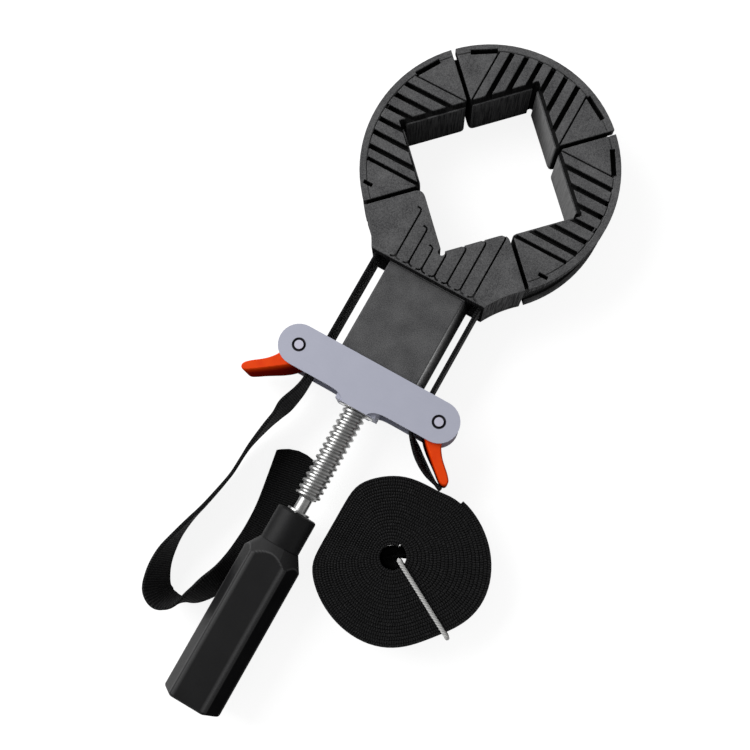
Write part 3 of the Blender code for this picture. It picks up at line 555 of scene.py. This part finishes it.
def bent(before, corner, after, radius, steps):
    """A short curve in place of a corner."""
    start = corner + (before - corner).normalized() * radius
    end = corner + (after - corner).normalized() * radius
    return [
        start * (1 - t) ** 2 + corner * 2 * t * (1 - t) + end * t * t
        for t in (k / steps for k in range(steps + 1))
    ]


def resampled(points, step, closed=False):
    """Points at equal steps along a line."""
    points = list(points) + ([points[0]] if closed else [])
    total = sum((b - a).length for a, b in zip(points, points[1:]))
    count = max(round(total / step), 2)
    found, walked, i = [], 0.0, 0
    for k in range(count if closed else count + 1):
        target = total * k / count
        while i < len(points) - 2 and walked + (points[i + 1] - points[i]).length < target:
            walked += (points[i + 1] - points[i]).length
            i += 1
        gap = (points[i + 1] - points[i]).length
        found.append(points[i].lerp(points[i + 1], min((target - walked) / gap, 1) if gap else 0))
    return found


def tie_loop():
    """The middle of the tie's loop."""
    along = Vector((math.cos(math.radians(TIE_ANGLE)), math.sin(math.radians(TIE_ANGLE))))
    start = ROLL_HOLE + Vector((-along.y, along.x)) * TIE_ASIDE
    rim = [roll_rim(angle) - start for angle in range(360)]
    near = [point for point in rim if abs(point.cross(along)) < 2 * TIE_RADIUS]
    inner = math.sqrt((ROLL_HOLE_RADIUS - TIE_RADIUS - FIT) ** 2 - TIE_ASIDE**2)
    outer = max(point.dot(along) for point in near) + TIE_RADIUS + FIT
    low, high = ROLL_LIFT + TIE_RADIUS, STRAP_WIDTH + TIE_RADIUS
    corners = []
    for out, z in ((inner, low), (outer, low), (outer, high), (inner, high)):
        place = start + along * out
        corners.append(Vector((place.x, place.y + RING_Y, z)))
    loop = []
    for i, corner in enumerate(corners):
        loop += bent(corners[i - 1], corner, corners[(i + 1) % 4], TIE_BEND, 8)
    side = Vector((-along.y, along.x, 0))
    return resampled(loop, 0.35 * MM, closed=True), side


def twisted(name, loop, side, radius, strands, lay_length, closed_turns):
    """Strands laid round a closed loop that lies in one plane, whose normal is side."""
    bm = bmesh.new()
    count = len(loop)
    strand_radius = radius * 0.56
    offset = radius - strand_radius
    sides = 8
    for strand in range(strands):
        rows = []
        for i, here in enumerate(loop):
            along = (loop[(i + 1) % count] - loop[i - 1]).normalized()
            up = side.cross(along)
            turn = math.tau * (closed_turns * i / count + strand / strands)
            middle = here + (side * math.cos(turn) + up * math.sin(turn)) * offset
            row = []
            for k in range(sides):
                angle = math.tau * k / sides
                spoke = side * math.cos(angle) + up * math.sin(angle)
                row.append(bm.verts.new(middle + spoke * strand_radius))
            rows.append(row)
        for i in range(count):
            one, two = rows[i], rows[(i + 1) % count]
            for k in range(sides):
                n = (k + 1) % sides
                bm.faces.new((one[k], one[n], two[n], two[k]))
    bmesh.ops.recalc_face_normals(bm, faces=bm.faces)
    return mesh_object(name, bm, 60)


loop_points, loop_side = tie_loop()
loop_length = sum((b - a).length for a, b in zip(loop_points, loop_points[1:] + loop_points[:1]))
tie = twisted(
    "roll_tie",
    loop_points,
    loop_side,
    TIE_RADIUS,
    TIE_STRANDS,
    TIE_LAY,
    round(loop_length / TIE_LAY),
)
lay(tie, tie_material(), "crossbar", "tie_cord", "coil_tie")


# Tight webbing: from the crossbar's cams down both sides of the stem, in at the fixed jaw's
# foot and round the three free jaws in the groove of their rims.
FOOT_Y = 57.5 * MM
STRAP_BEND = 4 * MM
STRAP_TURN_IN = 1.5 * MM
BRIDGE_HALF = 6 * MM  # webbing on each side of a gap that stretches when the jaws part
ARC_STEP = 1.5 * MM
JAW_WAY = math.sqrt(0.5)


def arc_points(radius, start, end):
    """Points on an arc about the ring's middle between two angles in degrees."""
    count = max(round(abs(math.radians(end - start)) * radius / ARC_STEP), 2)
    angles = [math.radians(start + (end - start) * k / count) for k in range(count + 1)]
    return [Vector((radius * math.cos(a), radius * math.sin(a))) for a in angles]


def side_line():
    """The webbing's middle on the right: the run beside the stem, and the stretch past the gap."""
    foot = Vector((STRAP_X, -FOOT_Y + STRAP_TURN_IN))
    lean = math.acos(STRAP_RADIUS / foot.length)
    angle = math.atan2(foot.y, foot.x) + lean
    touch = Vector((math.cos(angle), math.sin(angle))) * STRAP_RADIUS
    along = (touch - foot).normalized()
    before = foot - Vector((0, STRAP_BEND))
    bend = bent(before, foot, touch, STRAP_BEND, 8)
    reach = -(bend[-1].x + bend[-1].y) / (along.x + along.y)
    crossing = bend[-1] + along * reach
    return bend, crossing, along, touch, math.degrees(angle)


def on_side(points, side):
    """The points of the right-hand side, mirrored for the left."""
    return [Vector((-p.x, p.y)) for p in points] if side == "left" else list(points)


def strap_stretch(name, points, body, *replaced):
    rings = standing_rings(resampled(points, ARC_STEP), AXIS_Z)
    piece = band(name, rings)
    return lay(piece, webbing_material, body, "webbing", *replaced)


bend, crossing, along, touch, touch_angle = side_line()
bridge_angle = math.degrees(BRIDGE_HALF / STRAP_RADIUS)
run_points = [Vector((STRAP_X, STRAP_BACK_Y + FIT))] + bend + [crossing - along * BRIDGE_HALF]
gap_points = [crossing - along * BRIDGE_HALF, crossing + along * BRIDGE_HALF]
arc_start = [crossing + along * BRIDGE_HALF, touch]
side_arc = arc_start + arc_points(STRAP_RADIUS, touch_angle, 45 - bridge_angle)[1:]
far_gap = arc_points(STRAP_RADIUS, 45 - bridge_angle, 45 + bridge_angle)
far_arc = arc_points(STRAP_RADIUS, 45 + bridge_angle, 135 - bridge_angle)

for side in ("right", "left"):
    run = strap_stretch(
        f"webbing_run_{side}",
        on_side(run_points, side),
        None,
        f"strap_run_{side}",
        f"strap_grip_{side}",
    )
    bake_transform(run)
    near = strap_stretch(f"webbing_gap_near_{side}", on_side(gap_points, side), None)
    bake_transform(near)
    arc = on_side(side_arc, side)
    strap_stretch(f"webbing_arc_{side}", arc, f"jaw_{side}", f"strap_arc_{side}")
    far = strap_stretch(f"webbing_gap_far_{side}", on_side(far_gap, side), None)
    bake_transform(far)
strap_stretch("webbing_arc_far", far_arc, "strap_far", "strap_arc_far")


# Jaws: four blocks of dark grey glass-filled nylon, moulded with a slotted top. The mould's
# grain shows on the ribs, and its draw marks run up the walls of the V.
JAW_LIGHT = (0.165, 0.165, 0.167, 1)
JAW_DARK = (0.040, 0.040, 0.042, 1)
EDGE_ROUNDING = 0.22 * MM
STEM_SIDE_HIGHLIGHT = (0.95, 0.95, 0.95, 1)
# colour of the painted light on the V's right-facing walls
LIT_WALL_COLOUR = (0.26, 0.26, 0.26, 1)
GRAIN = 0.4 * MM
# colour of the painted shade in the slots, the gaps, the foot and the V's far walls
PAINTED_SHADE_COLOUR = (0.002, 0.002, 0.002, 1)
SLOT_SHADE = 0.12  # how much of the light reaches into the slots
SLOT_TOP = 32.4 * MM
SLOT_FADE = 0.5 * MM
FOOT_SHADE_FADE = 0.4 * MM
HALF_DIAGONAL = 44.55 * MM  # of the square between the four V's
V_EDGE = 0.9 * MM  # how far the V's edge lies outside the square
RIM_INSIDE = 57.2 * MM
STEM_SIDE_X = 8 * MM
SIDE_LIGHT_START_Y = -56 * MM
SIDE_LIGHT_LENGTH = 36 * MM
FAR_WALL_SHADE = 0.5


def dress(name, material, rounding=0.0, angle=32, merge=True):
    """Gives a rigid node that keeps its shape its finish and, where it has one, its rounding."""
    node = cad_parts[name]
    node.data.materials.clear()
    node.data.materials.append(material)
    node.data.shade_smooth()
    node.data.set_sharp_from_angle(angle=math.radians(angle))
    if rounding:
        weld = node.modifiers.new("weld", "WELD")
        weld.merge_threshold = 0.01 * MM
        if merge:
            plain = node.modifiers.new("plain", "DECIMATE")
            plain.decimate_type = "DISSOLVE"
            plain.angle_limit = math.radians(0.5)
        edge = node.modifiers.new("edge", "BEVEL")
        edge.width = rounding
        edge.segments = 2
        edge.limit_method = "ANGLE"
        edge.angle_limit = math.radians(angle)
        edge.use_clamp_overlap = False
        shading = node.modifiers.new("shading", "WEIGHTED_NORMAL")
        shading.keep_sharp = False
        shading.weight = 100
    return node


def jaw_plastic():
    """Dark grey moulded nylon: fine grain on top, upright draw marks on the walls, painted shade and
    light.
    """
    material, start = new_material("jaw_plastic", specular=0.0)
    place = start.node("ShaderNodeTexCoord", outlet=3)
    x, y, z = place.split()
    normal = start.node("ShaderNodeNewGeometry", outlet=1).split()
    wall = 1 - (normal[2].maths("ABSOLUTE") * 3).kept_between(0, 1)
    grain = place.noise(GRAIN, 2.0)
    cloud = place.noise(9 * MM, 3.0)
    draw_marks = place.stretched(1, 1, 0.03).noise(0.5 * MM, 3.0)
    mottle = (0.7 * grain + 0.3 * cloud + wall * (draw_marks - 0.5) * 1.5).kept_between(0, 1)
    colour = (mottle * 2.6 - 0.8).kept_between(0, 1).blended(JAW_DARK, JAW_LIGHT)

    # painted shade: little light gets down between the ribs, into the gaps and onto the foot of the fixed
    # jaw
    back = y - RING_Y
    square = x.maths("ABSOLUTE") + back.maths("ABSOLUTE")
    outside_v = square.maths("GREATER_THAN", HALF_DIAGONAL + V_EDGE)
    radius = (x * x + back * back) ** 0.5
    inside_rim = radius.maths("LESS_THAN", RIM_INSIDE)
    below_top = ((SLOT_TOP - z) / SLOT_FADE).kept_between(0, 1)
    shade = below_top * outside_v * inside_rim
    foot = 1 - ((back + FOOT_Y) / FOOT_SHADE_FADE).maths("ABSOLUTE")
    shade = shade.maths("MAXIMUM", foot.kept_between(0, 1) * wall * below_top)

    # the far walls of the V lie in shade, and the right-hand ones catch the light
    inside_v = (1 - outside_v) * wall
    far_facing = (normal[0] - normal[1]) * JAW_WAY
    far_shade = FAR_WALL_SHADE * inside_v * (far_facing - 0.5).kept_between(0, 1) * 2
    shade = shade.maths("MAXIMUM", far_shade)
    right_facing = (-JAW_WAY * (normal[0] + normal[1]) - 0.5).kept_between(0, 1) * 2
    colour = (inside_v * right_facing * (0.35 + 0.9 * draw_marks)).blended(colour, LIT_WALL_COLOUR)

    # painted light: the stem's right-facing side is coloured pale, more so towards the crossbar
    side_light = ((SIDE_LIGHT_START_Y - back) / SIDE_LIGHT_LENGTH).kept_between(0, 1)
    side = x.maths("GREATER_THAN", STEM_SIDE_X) * normal[0].maths("GREATER_THAN", 0.7)
    side = side * back.maths("LESS_THAN", -FOOT_Y - 1 * MM)
    colour = (side * side_light).blended(colour, STEM_SIDE_HIGHLIGHT)
    return finish(
        material,
        base_color=(shade * (1 - SLOT_SHADE)).blended(colour, PAINTED_SHADE_COLOUR),
        roughness=0.52 + 0.18 * cloud,
        normal=(grain * (1 - wall) + draw_marks * wall).relief(0.05 * MM),
    )


jaw_material = jaw_plastic()
for name in ("corner_jaw_right", "corner_jaw_far", "corner_jaw_left"):
    dress(name, jaw_material, EDGE_ROUNDING)
dress("fixed_jaw_and_stem", jaw_material, 0.15 * MM, merge=False)


# Crossbar: two stamped steel plates with a satin zinc finish on a cast core, riveted together
# over the cams' pins. The core's faces show between the plates.
ZINC_COLOUR = (0.44, 0.455, 0.55, 1)
ZINC_LIGHT = (0.52, 0.53, 0.63, 1)
PIVOT_X = 35.4 * MM
PIVOT_Y = -111 * MM
PIN_RIM = 1.95 * MM
SINK_RIM = 3.25 * MM
RIM_SHADE = (0.02, 0.02, 0.03, 1)
PIN_COLOUR = (0.5, 0.5, 0.6, 1)
PIN_LIGHT = (0.75, 0.73, 0.86, 1)
STEEL_COLOUR = (0.63, 0.63, 0.62, 1)
STEEL_DARK = (0.36, 0.36, 0.36, 1)


def rivet_shade(place):
    """1 on the dark ring round each pivot pin's head."""
    x, y, _ = place.split()
    aside = x.maths("ABSOLUTE") - PIVOT_X
    back = y - (RING_Y + PIVOT_Y)
    radius = (aside * aside + back * back) ** 0.5
    within = ((SINK_RIM - radius) / (0.15 * MM)).kept_between(0, 1)
    return within * ((radius - PIN_RIM) / (0.15 * MM)).kept_between(0, 1)


def zinc(name, metallic, colour, light):
    """Satin zinc, slightly blue, with faint rolling marks along the bar."""
    material, start = new_material(name, metallic=metallic, specular=0.4)
    place = start.node("ShaderNodeTexCoord", outlet=3)
    cloud = place.noise(7 * MM, 4.0)
    rolled = place.stretched(0.08, 1, 1).noise(0.5 * MM, 2.0)
    fleck = place.noise(0.3 * MM, 1.0)
    mix = (0.5 * cloud + 0.25 * rolled + 0.25 * fleck).kept_between(0, 1)
    return finish(
        material,
        base_color=rivet_shade(place).blended(mix.blended(colour, light), RIM_SHADE),
        roughness=0.5 + 0.2 * rolled,
        normal=rolled.relief(0.01 * MM),
    )


def bright_steel(name, roughness=0.25):
    """Plated steel with fine turning marks round the Y axis and a little tarnish."""
    material, start = new_material(name, metallic=1.0)
    place = start.node("ShaderNodeTexCoord", outlet=3)
    marks = place.stretched(1, 6, 1).noise(0.6 * MM, 3.0)
    tarnish = place.noise(3 * MM, 4.0)
    return finish(
        material,
        base_color=tarnish.blended(STEEL_DARK, STEEL_COLOUR),
        roughness=roughness + 0.15 * marks,
        normal=marks.relief(0.01 * MM),
    )


zinc_material = zinc("zinc_plate", 0.1, ZINC_COLOUR, ZINC_LIGHT)
pin_material = zinc("pin_steel", 0.2, PIN_COLOUR, PIN_LIGHT)
steel_material = bright_steel("bright_steel")
for name in ("crossbar_top_plate", "crossbar_bottom_plate"):
    dress(name, zinc_material, angle=50)
dress("crossbar_core", zinc_material, 0.2 * MM)
for name in ("cam_pin_left", "cam_pin_right"):
    dress(name, pin_material, 0.25 * MM)
for name in ("stem_pin_left", "stem_pin_right"):
    dress(name, steel_material, 0.25 * MM)
for name in ("spindle_nut", "thrust_washer", "handle_washer"):
    dress(name, steel_material, 0.12 * MM)


# Cam levers: orange moulded levers, bent towards the webbing, whose toothed cams press it on the
# crossbar's core. Their inner sides slope out towards the table.
ORANGE = (0.98, 0.085, 0.004, 1)
ORANGE_DEEP = (0.80, 0.040, 0.002, 1)
ORANGE_SHADE = (0.30, 0.008, 0.002, 1)
LEVER_LOW = 5.8 * MM
LEVER_HIGH = 27.2 * MM
LEVER_ROUNDING = 0.7 * MM
CAM_RADIUS = PIVOT_X - STRAP_X - STRAP_THICKNESS / 2 - FIT
CAM_DROP = 2.2 * MM
CAM_TOOTH = 0.5 * MM
CAM_CONTACT = 236  # degrees from the lever's direction
CAM_SWEEP = 75
PIN_HOLE = 2.6 * MM
LEVER_HEADING = {"right": -56, "left": -50}
# along the lever and outward from the line through its pivot, in mm
LEVER_INNER = [(4.0, -6.9), (8.5, -6.4), (13.0, -5.4), (17.5, -4.3), (21.9, -3.2), (24.3, -2.5)]
LEVER_INNER_LOW = [(3.9, -7.9), (8.0, -7.6), (12.5, -6.5), (16.8, -5.0), (20.6, -3.7), (23.4, -2.9)]
LEVER_TIP = [(26.2, -1.9), (27.4, -0.9), (27.8, 0.3), (27.2, 1.4), (26.0, 1.95)]
LEVER_OUTER = [(24.6, 2.0), (21.9, 1.6), (18.8, 0.85), (15.7, 0.25), (12.1, 0.1), (9.1, 0.6), (5.0, 2.2)]


def orange_plastic(name, specular):
    """Semi-gloss orange, a little deeper where the moulding flowed last, with painted shade down the
    sides.
    """
    material, start = new_material(name, specular=specular)
    place = start.node("ShaderNodeTexCoord", outlet=3)
    flow = place.noise(5 * MM, 3.0)
    grain = place.noise(0.5 * MM, 2.0)
    # painted shade: darker down the sides towards the lever's lower edge
    depth = ((LEVER_HIGH - place.split()[2]) / (8 * MM)).kept_between(0, 1) ** 0.6
    return finish(
        material,
        base_color=depth.blended(flow.blended(ORANGE_DEEP, ORANGE), ORANGE_SHADE),
        roughness=0.5 + 0.12 * grain,
        normal=grain.relief(0.012 * MM),
    )


def cam_points():
    """The cam's back and its toothed face, whose radius falls as the lever is turned out."""
    first, last = CAM_CONTACT - CAM_SWEEP, CAM_CONTACT + 9
    polar = [(70 + k * (first - 74.5) / 8, CAM_RADIUS - CAM_DROP) for k in range(9)]
    count = round((last - first) / 4.5)
    for i in range(count + 1):
        angle = first + (last - first) * i / count
        fall = CAM_DROP * max(CAM_CONTACT - angle, 0) / CAM_SWEEP
        polar.append((angle, CAM_RADIUS - fall - (CAM_TOOTH if i % 2 else 0)))
    return [Vector((r * math.cos(math.radians(a)), r * math.sin(math.radians(a)))) for a, r in polar]


def lever_outline(inner):
    hand = [spot * MM for spot in smooth_route(inner + LEVER_TIP + LEVER_OUTER, 3)]
    return hand + cam_points()


def lever_mesh(side):
    """Rows of the outline from the lower edge to the upper one, with the pin's hole through."""
    sign = 1 if side == "right" else -1
    turn = Matrix.Rotation(math.radians(LEVER_HEADING[side]), 2)
    low, high = lever_outline(LEVER_INNER_LOW), lever_outline(LEVER_INNER)
    count = len(low)
    bm = bmesh.new()
    levels = [(0.0, 0.3), (0.02, 0.0), (0.9, 0.0), (0.97, 0.22), (0.992, 0.62), (1.0, 1.0)]

    def place(flat, z):
        flat = turn @ flat
        return bm.verts.new((sign * (PIVOT_X + flat.x), RING_Y + PIVOT_Y + flat.y, z))

    rows = []
    for share, inset in levels:
        row = []
        for i in range(count):
            spot = low[i].lerp(high[i], share)
            before, after = low[i - 1].lerp(high[i - 1], share), low[(i + 1) % count]
            after = after.lerp(high[(i + 1) % count], share)
            inward = Vector((-(after - before).y, (after - before).x)).normalized()
            inset_now = inset * LEVER_ROUNDING if i < count - len(cam_points()) else 0
            z = LEVER_LOW + (LEVER_HIGH - LEVER_LOW) * share
            row.append(place(spot + inward * inset_now, z))
        rows.append(row)
    hole = [
        [
            place(Vector((math.cos(math.tau * k / 24), math.sin(math.tau * k / 24))) * PIN_HOLE, z)
            for k in range(24)
        ]
        for z in (LEVER_LOW, LEVER_HIGH)
    ]
    for one, two in list(zip(rows, rows[1:])) + [tuple(hole)]:
        for k in range(len(one)):
            n = (k + 1) % len(one)
            bm.faces.new((one[k], one[n], two[n], two[k]))
    for outer, inner in ((rows[0], hole[0]), (rows[-1], hole[1])):
        ring = [bm.edges.get((loop[k - 1], loop[k])) for loop in (outer, inner) for k in range(len(loop))]
        bmesh.ops.triangle_fill(bm, use_beauty=True, use_dissolve=False, edges=ring)
    bmesh.ops.recalc_face_normals(bm, faces=bm.faces)
    return mesh_object(f"lever_{side}", bm, 30)


orange_top = orange_plastic("lever_orange", 0.12)
# painted shade: the lever's sides get a copy of the orange without reflection, which keeps them dark
orange_shaded_side = orange_plastic("lever_shaded_side", 0.0)
for side in ("left", "right"):
    lever = lever_mesh(side)
    lay(lever, orange_top, f"cam_{side}", "orange_plastic", f"cam_lever_{side}")
    repaint(lever, orange_shaded_side, lambda face: abs(face.normal.z) < 0.6)


# Spindle: steel, with a coarse right-hand thread rolled on it, a plain shank that goes into the
# handle, and at its tip the journal that two pins hold in the stem.
THREAD_PITCH = 3 * MM
THREAD_RADIUS = 5.8 * MM
THREAD_ROOT = 4.55 * MM
THREAD_FLANK = 0.27  # of the pitch
THREAD_CREST = 0.26
JOURNAL_RADIUS = 5.2 * MM
NECK_RADIUS = 3.4 * MM
SHANK_RADIUS = 3.1 * MM
STEM_END_Y = -103 * MM
THREAD_START_Y = STEM_END_Y - 1.5 * MM
THREAD_END_Y = STEM_END_Y - 65 * MM
PIN_SETBACK = 7 * MM
PIN_ROOM = 1.8 * MM
SPINDLE_TIP_Y = STEM_END_Y + 16 * MM
SPINDLE_BACK_Y = THREAD_END_Y - 53 * MM
SPINDLE_SIDES = 40


def spindle_mesh():
    """The turned profile and the thread in one skin of rows round the Y axis."""
    bm = bmesh.new()
    rows = []

    def row(places):
        verts = []
        for k, (radius, y) in enumerate(places):
            angle = math.tau * k / SPINDLE_SIDES
            spot = (radius * math.sin(angle), y + RING_Y, AXIS_Z + radius * math.cos(angle))
            verts.append(bm.verts.new(spot))
        rows.append(verts)

    def even(radius, y):
        row([(radius, y)] * (SPINDLE_SIDES + 1))

    chamfer = 1 * MM
    groove = STEM_END_Y + PIN_SETBACK
    even(0.2 * MM, SPINDLE_BACK_Y)
    even(SHANK_RADIUS - chamfer / 3, SPINDLE_BACK_Y)
    even(SHANK_RADIUS, SPINDLE_BACK_Y + chamfer / 3)
    even(SHANK_RADIUS, THREAD_END_Y - 0.6 * MM)
    even(THREAD_ROOT - 0.3 * MM, THREAD_END_Y)
    turns = math.ceil((THREAD_START_Y - THREAD_END_Y) / THREAD_PITCH)
    shape = [
        (0.0, THREAD_ROOT),
        (THREAD_FLANK, THREAD_RADIUS),
        (THREAD_FLANK + THREAD_CREST, THREAD_RADIUS),
        (2 * THREAD_FLANK + THREAD_CREST, THREAD_ROOT),
    ]
    for turn in range(-1, turns + 1):
        for share, radius in shape:
            places = []
            for k in range(SPINDLE_SIDES + 1):
                y = THREAD_END_Y + (turn + share + k / SPINDLE_SIDES) * THREAD_PITCH
                if y <= THREAD_END_Y:
                    places.append((THREAD_ROOT - 0.3 * MM, THREAD_END_Y))
                elif y >= THREAD_START_Y:
                    places.append((THREAD_ROOT, THREAD_START_Y))
                else:
                    places.append((radius, y))
            row(places)
    even(THREAD_ROOT, THREAD_START_Y)
    even(JOURNAL_RADIUS, THREAD_START_Y + 0.2 * MM)
    even(JOURNAL_RADIUS, groove - PIN_ROOM)
    even(NECK_RADIUS, groove - PIN_ROOM)
    even(NECK_RADIUS, groove + PIN_ROOM)
    even(JOURNAL_RADIUS, groove + PIN_ROOM)
    even(JOURNAL_RADIUS, SPINDLE_TIP_Y - chamfer)
    even(JOURNAL_RADIUS - chamfer, SPINDLE_TIP_Y)
    even(0.2 * MM, SPINDLE_TIP_Y)
    for one, two in zip(rows, rows[1:]):
        for k in range(SPINDLE_SIDES):
            corners = [one[k], one[k + 1], two[k + 1], two[k]]
            if len({tuple(round(c, 7) for c in v.co) for v in corners}) > 2:
                bm.faces.new(corners)
    bmesh.ops.remove_doubles(bm, verts=bm.verts, dist=1e-6)
    bmesh.ops.dissolve_degenerate(bm, dist=1e-6, edges=bm.edges)
    bmesh.ops.holes_fill(bm, edges=bm.edges, sides=SPINDLE_SIDES + 2)
    bmesh.ops.recalc_face_normals(bm, faces=bm.faces)
    return mesh_object("threaded_spindle", bm, 28)


spindle = spindle_mesh()
lay(spindle, bright_steel("spindle_steel", 0.34), "screw", "bright_steel", "spindle")


# Handle: black moulded grip of six sides, with a round collar turned down from it by a cone, and
# pushed on to the spindle's shank. Its corners, crease and shoulder carry painted highlights.
HANDLE_COLOUR = (0.0065, 0.0065, 0.007, 1)
HANDLE_HIGHLIGHT = (0.060, 0.060, 0.061, 1)
HANDLE_FACE_Y = -176 * MM
HANDLE_END_Y = -269.5 * MM
COLLAR_RADIUS = 9.4 * MM
COLLAR_LENGTH = 16 * MM
SHOULDER_LENGTH = 8 * MM
HANDLE_CORNERS = [(8.6, 12.0), (14.1, 0), (8.6, -12.0), (-8.6, -12.0), (-14.1, 0), (-8.6, 12.0)]
HANDLE_CORNER_ROUNDING = 1.2 * MM
HANDLE_END_ROUNDING = 1.6 * MM
BORE_RADIUS = SHANK_RADIUS + 0.05 * MM
BORE_DEPTH = 45.4 * MM


def handle_plastic(name, specular):
    """Black plastic, satin, with a fine grain, paler where the mesh's attribute asks for a painted
    highlight.
    """
    material, start = new_material(name, specular=specular)
    place = start.node("ShaderNodeTexCoord", outlet=3)
    grain = place.noise(0.4 * MM, 2.0)
    cloud = place.noise(10 * MM, 3.0)
    wear = start.node("ShaderNodeAttribute", {"attribute_name": "wear"}, outlet=2)
    highlight = (wear * (0.4 + 0.8 * grain) + 0.25 * cloud * grain - 0.03).kept_between(0, 1)
    return finish(
        material,
        base_color=highlight.blended(HANDLE_COLOUR, HANDLE_HIGHLIGHT),
        roughness=0.44 + 0.2 * grain,
        normal=grain.relief(0.03 * MM),
    )


def handle_section():
    """The grip's outline across, each corner rounded, with how much painted highlight each point gets."""
    corners = [Vector(corner) * MM for corner in HANDLE_CORNERS]
    section = []
    for i, corner in enumerate(corners):
        before, after = corners[i - 1], corners[(i + 1) % 6]
        turned = bent(before, corner, after, HANDLE_CORNER_ROUNDING, 4)
        section += [(spot, 1.0) for spot in turned]
        start, end = turned[-1], after + (corner - after).normalized() * HANDLE_CORNER_ROUNDING
        section += [(start.lerp(end, k / 12), 0.0) for k in range(1, 12)]
    return section


def handle_mesh():
    section = handle_section()
    collar_end = HANDLE_FACE_Y - COLLAR_LENGTH
    widest = max(spot.length for spot, _ in section)
    limits = [
        (HANDLE_FACE_Y - BORE_DEPTH, 0.05 * MM),
        (HANDLE_FACE_Y - BORE_DEPTH, BORE_RADIUS),
        (HANDLE_FACE_Y, BORE_RADIUS),
        (HANDLE_FACE_Y, COLLAR_RADIUS - 0.9 * MM),
        (HANDLE_FACE_Y - 0.3 * MM, COLLAR_RADIUS - 0.3 * MM),
        (HANDLE_FACE_Y - 0.9 * MM, COLLAR_RADIUS),
        (collar_end, COLLAR_RADIUS),
    ]
    for k in range(1, 33):
        share = k / 32
        radius = COLLAR_RADIUS + (widest - COLLAR_RADIUS) * share
        limits.append((collar_end - SHOULDER_LENGTH * share, radius))
    for k in range(1, 6):
        limits.append((collar_end - SHOULDER_LENGTH - 12 * MM * k, widest))
    rows = [(y, radius, 1.0) for y, radius in limits]
    for k in range(5):
        angle = math.pi / 2 * k / 4
        y = HANDLE_END_Y + HANDLE_END_ROUNDING * (1 - math.sin(angle))
        inset = HANDLE_END_ROUNDING * (1 - math.cos(angle))
        rows.append((y, widest, 1 - inset / (12 * MM)))
    rows.append((HANDLE_END_Y, widest, 0.02))
    bm = bmesh.new()
    wear = bm.verts.layers.float.new("wear")
    grid = []
    for y, radius, shrink in rows:
        row = []
        for spot, highlight in section:
            reach = spot.length
            on_cone = min(radius / reach, 1.0)
            flat = spot * on_cone * shrink
            vert = bm.verts.new((flat.x, RING_Y + y, AXIS_Z + flat.y))
            # painted highlight along the collar's crease and on the corners, and a paler painted sheen on
            # the shoulder
            crease = max(1 - abs(reach - radius) / (0.4 * MM), 0) * 1.5 if radius < widest else 0
            shoulder = 0.45 if COLLAR_RADIUS + 0.3 * MM < radius < reach else 0
            vert[wear] = max(crease, shoulder, highlight if radius > reach and shrink == 1 else 0)
            row.append(vert)
        grid.append(row)
    count = len(section)
    for one, two in zip(grid, grid[1:]):
        for k in range(count):
            n = (k + 1) % count
            bm.faces.new((one[k], one[n], two[n], two[k]))
    bm.faces.new(grid[0])
    bm.faces.new(grid[-1])
    bmesh.ops.recalc_face_normals(bm, faces=bm.faces)
    return mesh_object("grip", bm, 18)


grip = handle_mesh()
lay(grip, handle_plastic("handle_plastic", 0.2), "screw", "black_plastic", "handle")
# painted shade: the grip's right-hand flats get a copy of the plastic without reflection, which keeps
# them dark
flank_start_y = RING_Y + HANDLE_FACE_Y - COLLAR_LENGTH
repaint(
    grip,
    handle_plastic("handle_shaded_flank", 0.0),
    lambda face: face.normal.x > 0.3 and face.center.y < flank_start_y,
)


# Studio: a pale table that stays white behind the clamp and keeps its shadow, a large soft lamp
# from the left and an even sky.
FLOOR_SIZE = 3
FLOOR_DROP = 0.2 * MM
FLOOR_COLOUR = (0.3, 0.3, 0.3, 1)
FLOOR_GLOW = 0.87
SKY_HORIZON = (0.85, 0.85, 0.85, 1)
SKY_ZENITH = (0.2, 0.2, 0.2, 1)
LAMP_PLACE = Vector((-0.95, 0.05, 0.8))
LAMP_SIZE = 0.9
LAMP_POWER = 13

floor_mesh = bmesh.new()
bmesh.ops.create_grid(floor_mesh, x_segments=1, y_segments=1, size=FLOOR_SIZE)
floor = bpy.data.objects.new("floor", bpy.data.meshes.new("floor"))
floor_mesh.to_mesh(floor.data)
floor_mesh.free()
floor.location.z = -FLOOR_DROP
bpy.context.scene.collection.objects.link(floor)
floor_material, start = new_material("floor")
rays = start.node("ShaderNodeLightPath").socket.node.outputs
seen = Value(start.tree, rays["Is Camera Ray"])
for name in ("Is Glossy Ray", "Is Transmission Ray"):
    seen = seen.maths("MAXIMUM", Value(start.tree, rays[name]))
finish(
    floor_material,
    base_color=FLOOR_COLOUR,
    roughness=1.0,
    emission_color=(1, 1, 1, 1),
    emission_strength=seen * FLOOR_GLOW,
)
floor.data.materials.append(floor_material)

world_shader = bpy.data.worlds.new("studio")
world_shader.use_nodes = True
sky = world_shader.node_tree.nodes["Background"]
view = Value(world_shader.node_tree).node("ShaderNodeTexCoord")
height = view.split()[2].kept_between(0, 1) ** 0.6
sky_colour = height.blended(SKY_HORIZON, SKY_ZENITH)
world_shader.node_tree.links.new(sky_colour.socket, sky.inputs["Color"])
bpy.context.scene.world = world_shader

lamp = bpy.data.objects.new("lamp", bpy.data.lights.new("lamp", "AREA"))
lamp.data.size = LAMP_SIZE
lamp.data.energy = LAMP_POWER
lamp.location = LAMP_PLACE
lamp.rotation_euler = (-LAMP_PLACE).to_track_quat("-Z", "Y").to_euler()
bpy.context.scene.collection.objects.link(lamp)
bpy.context.scene.view_settings.view_transform = "Standard"
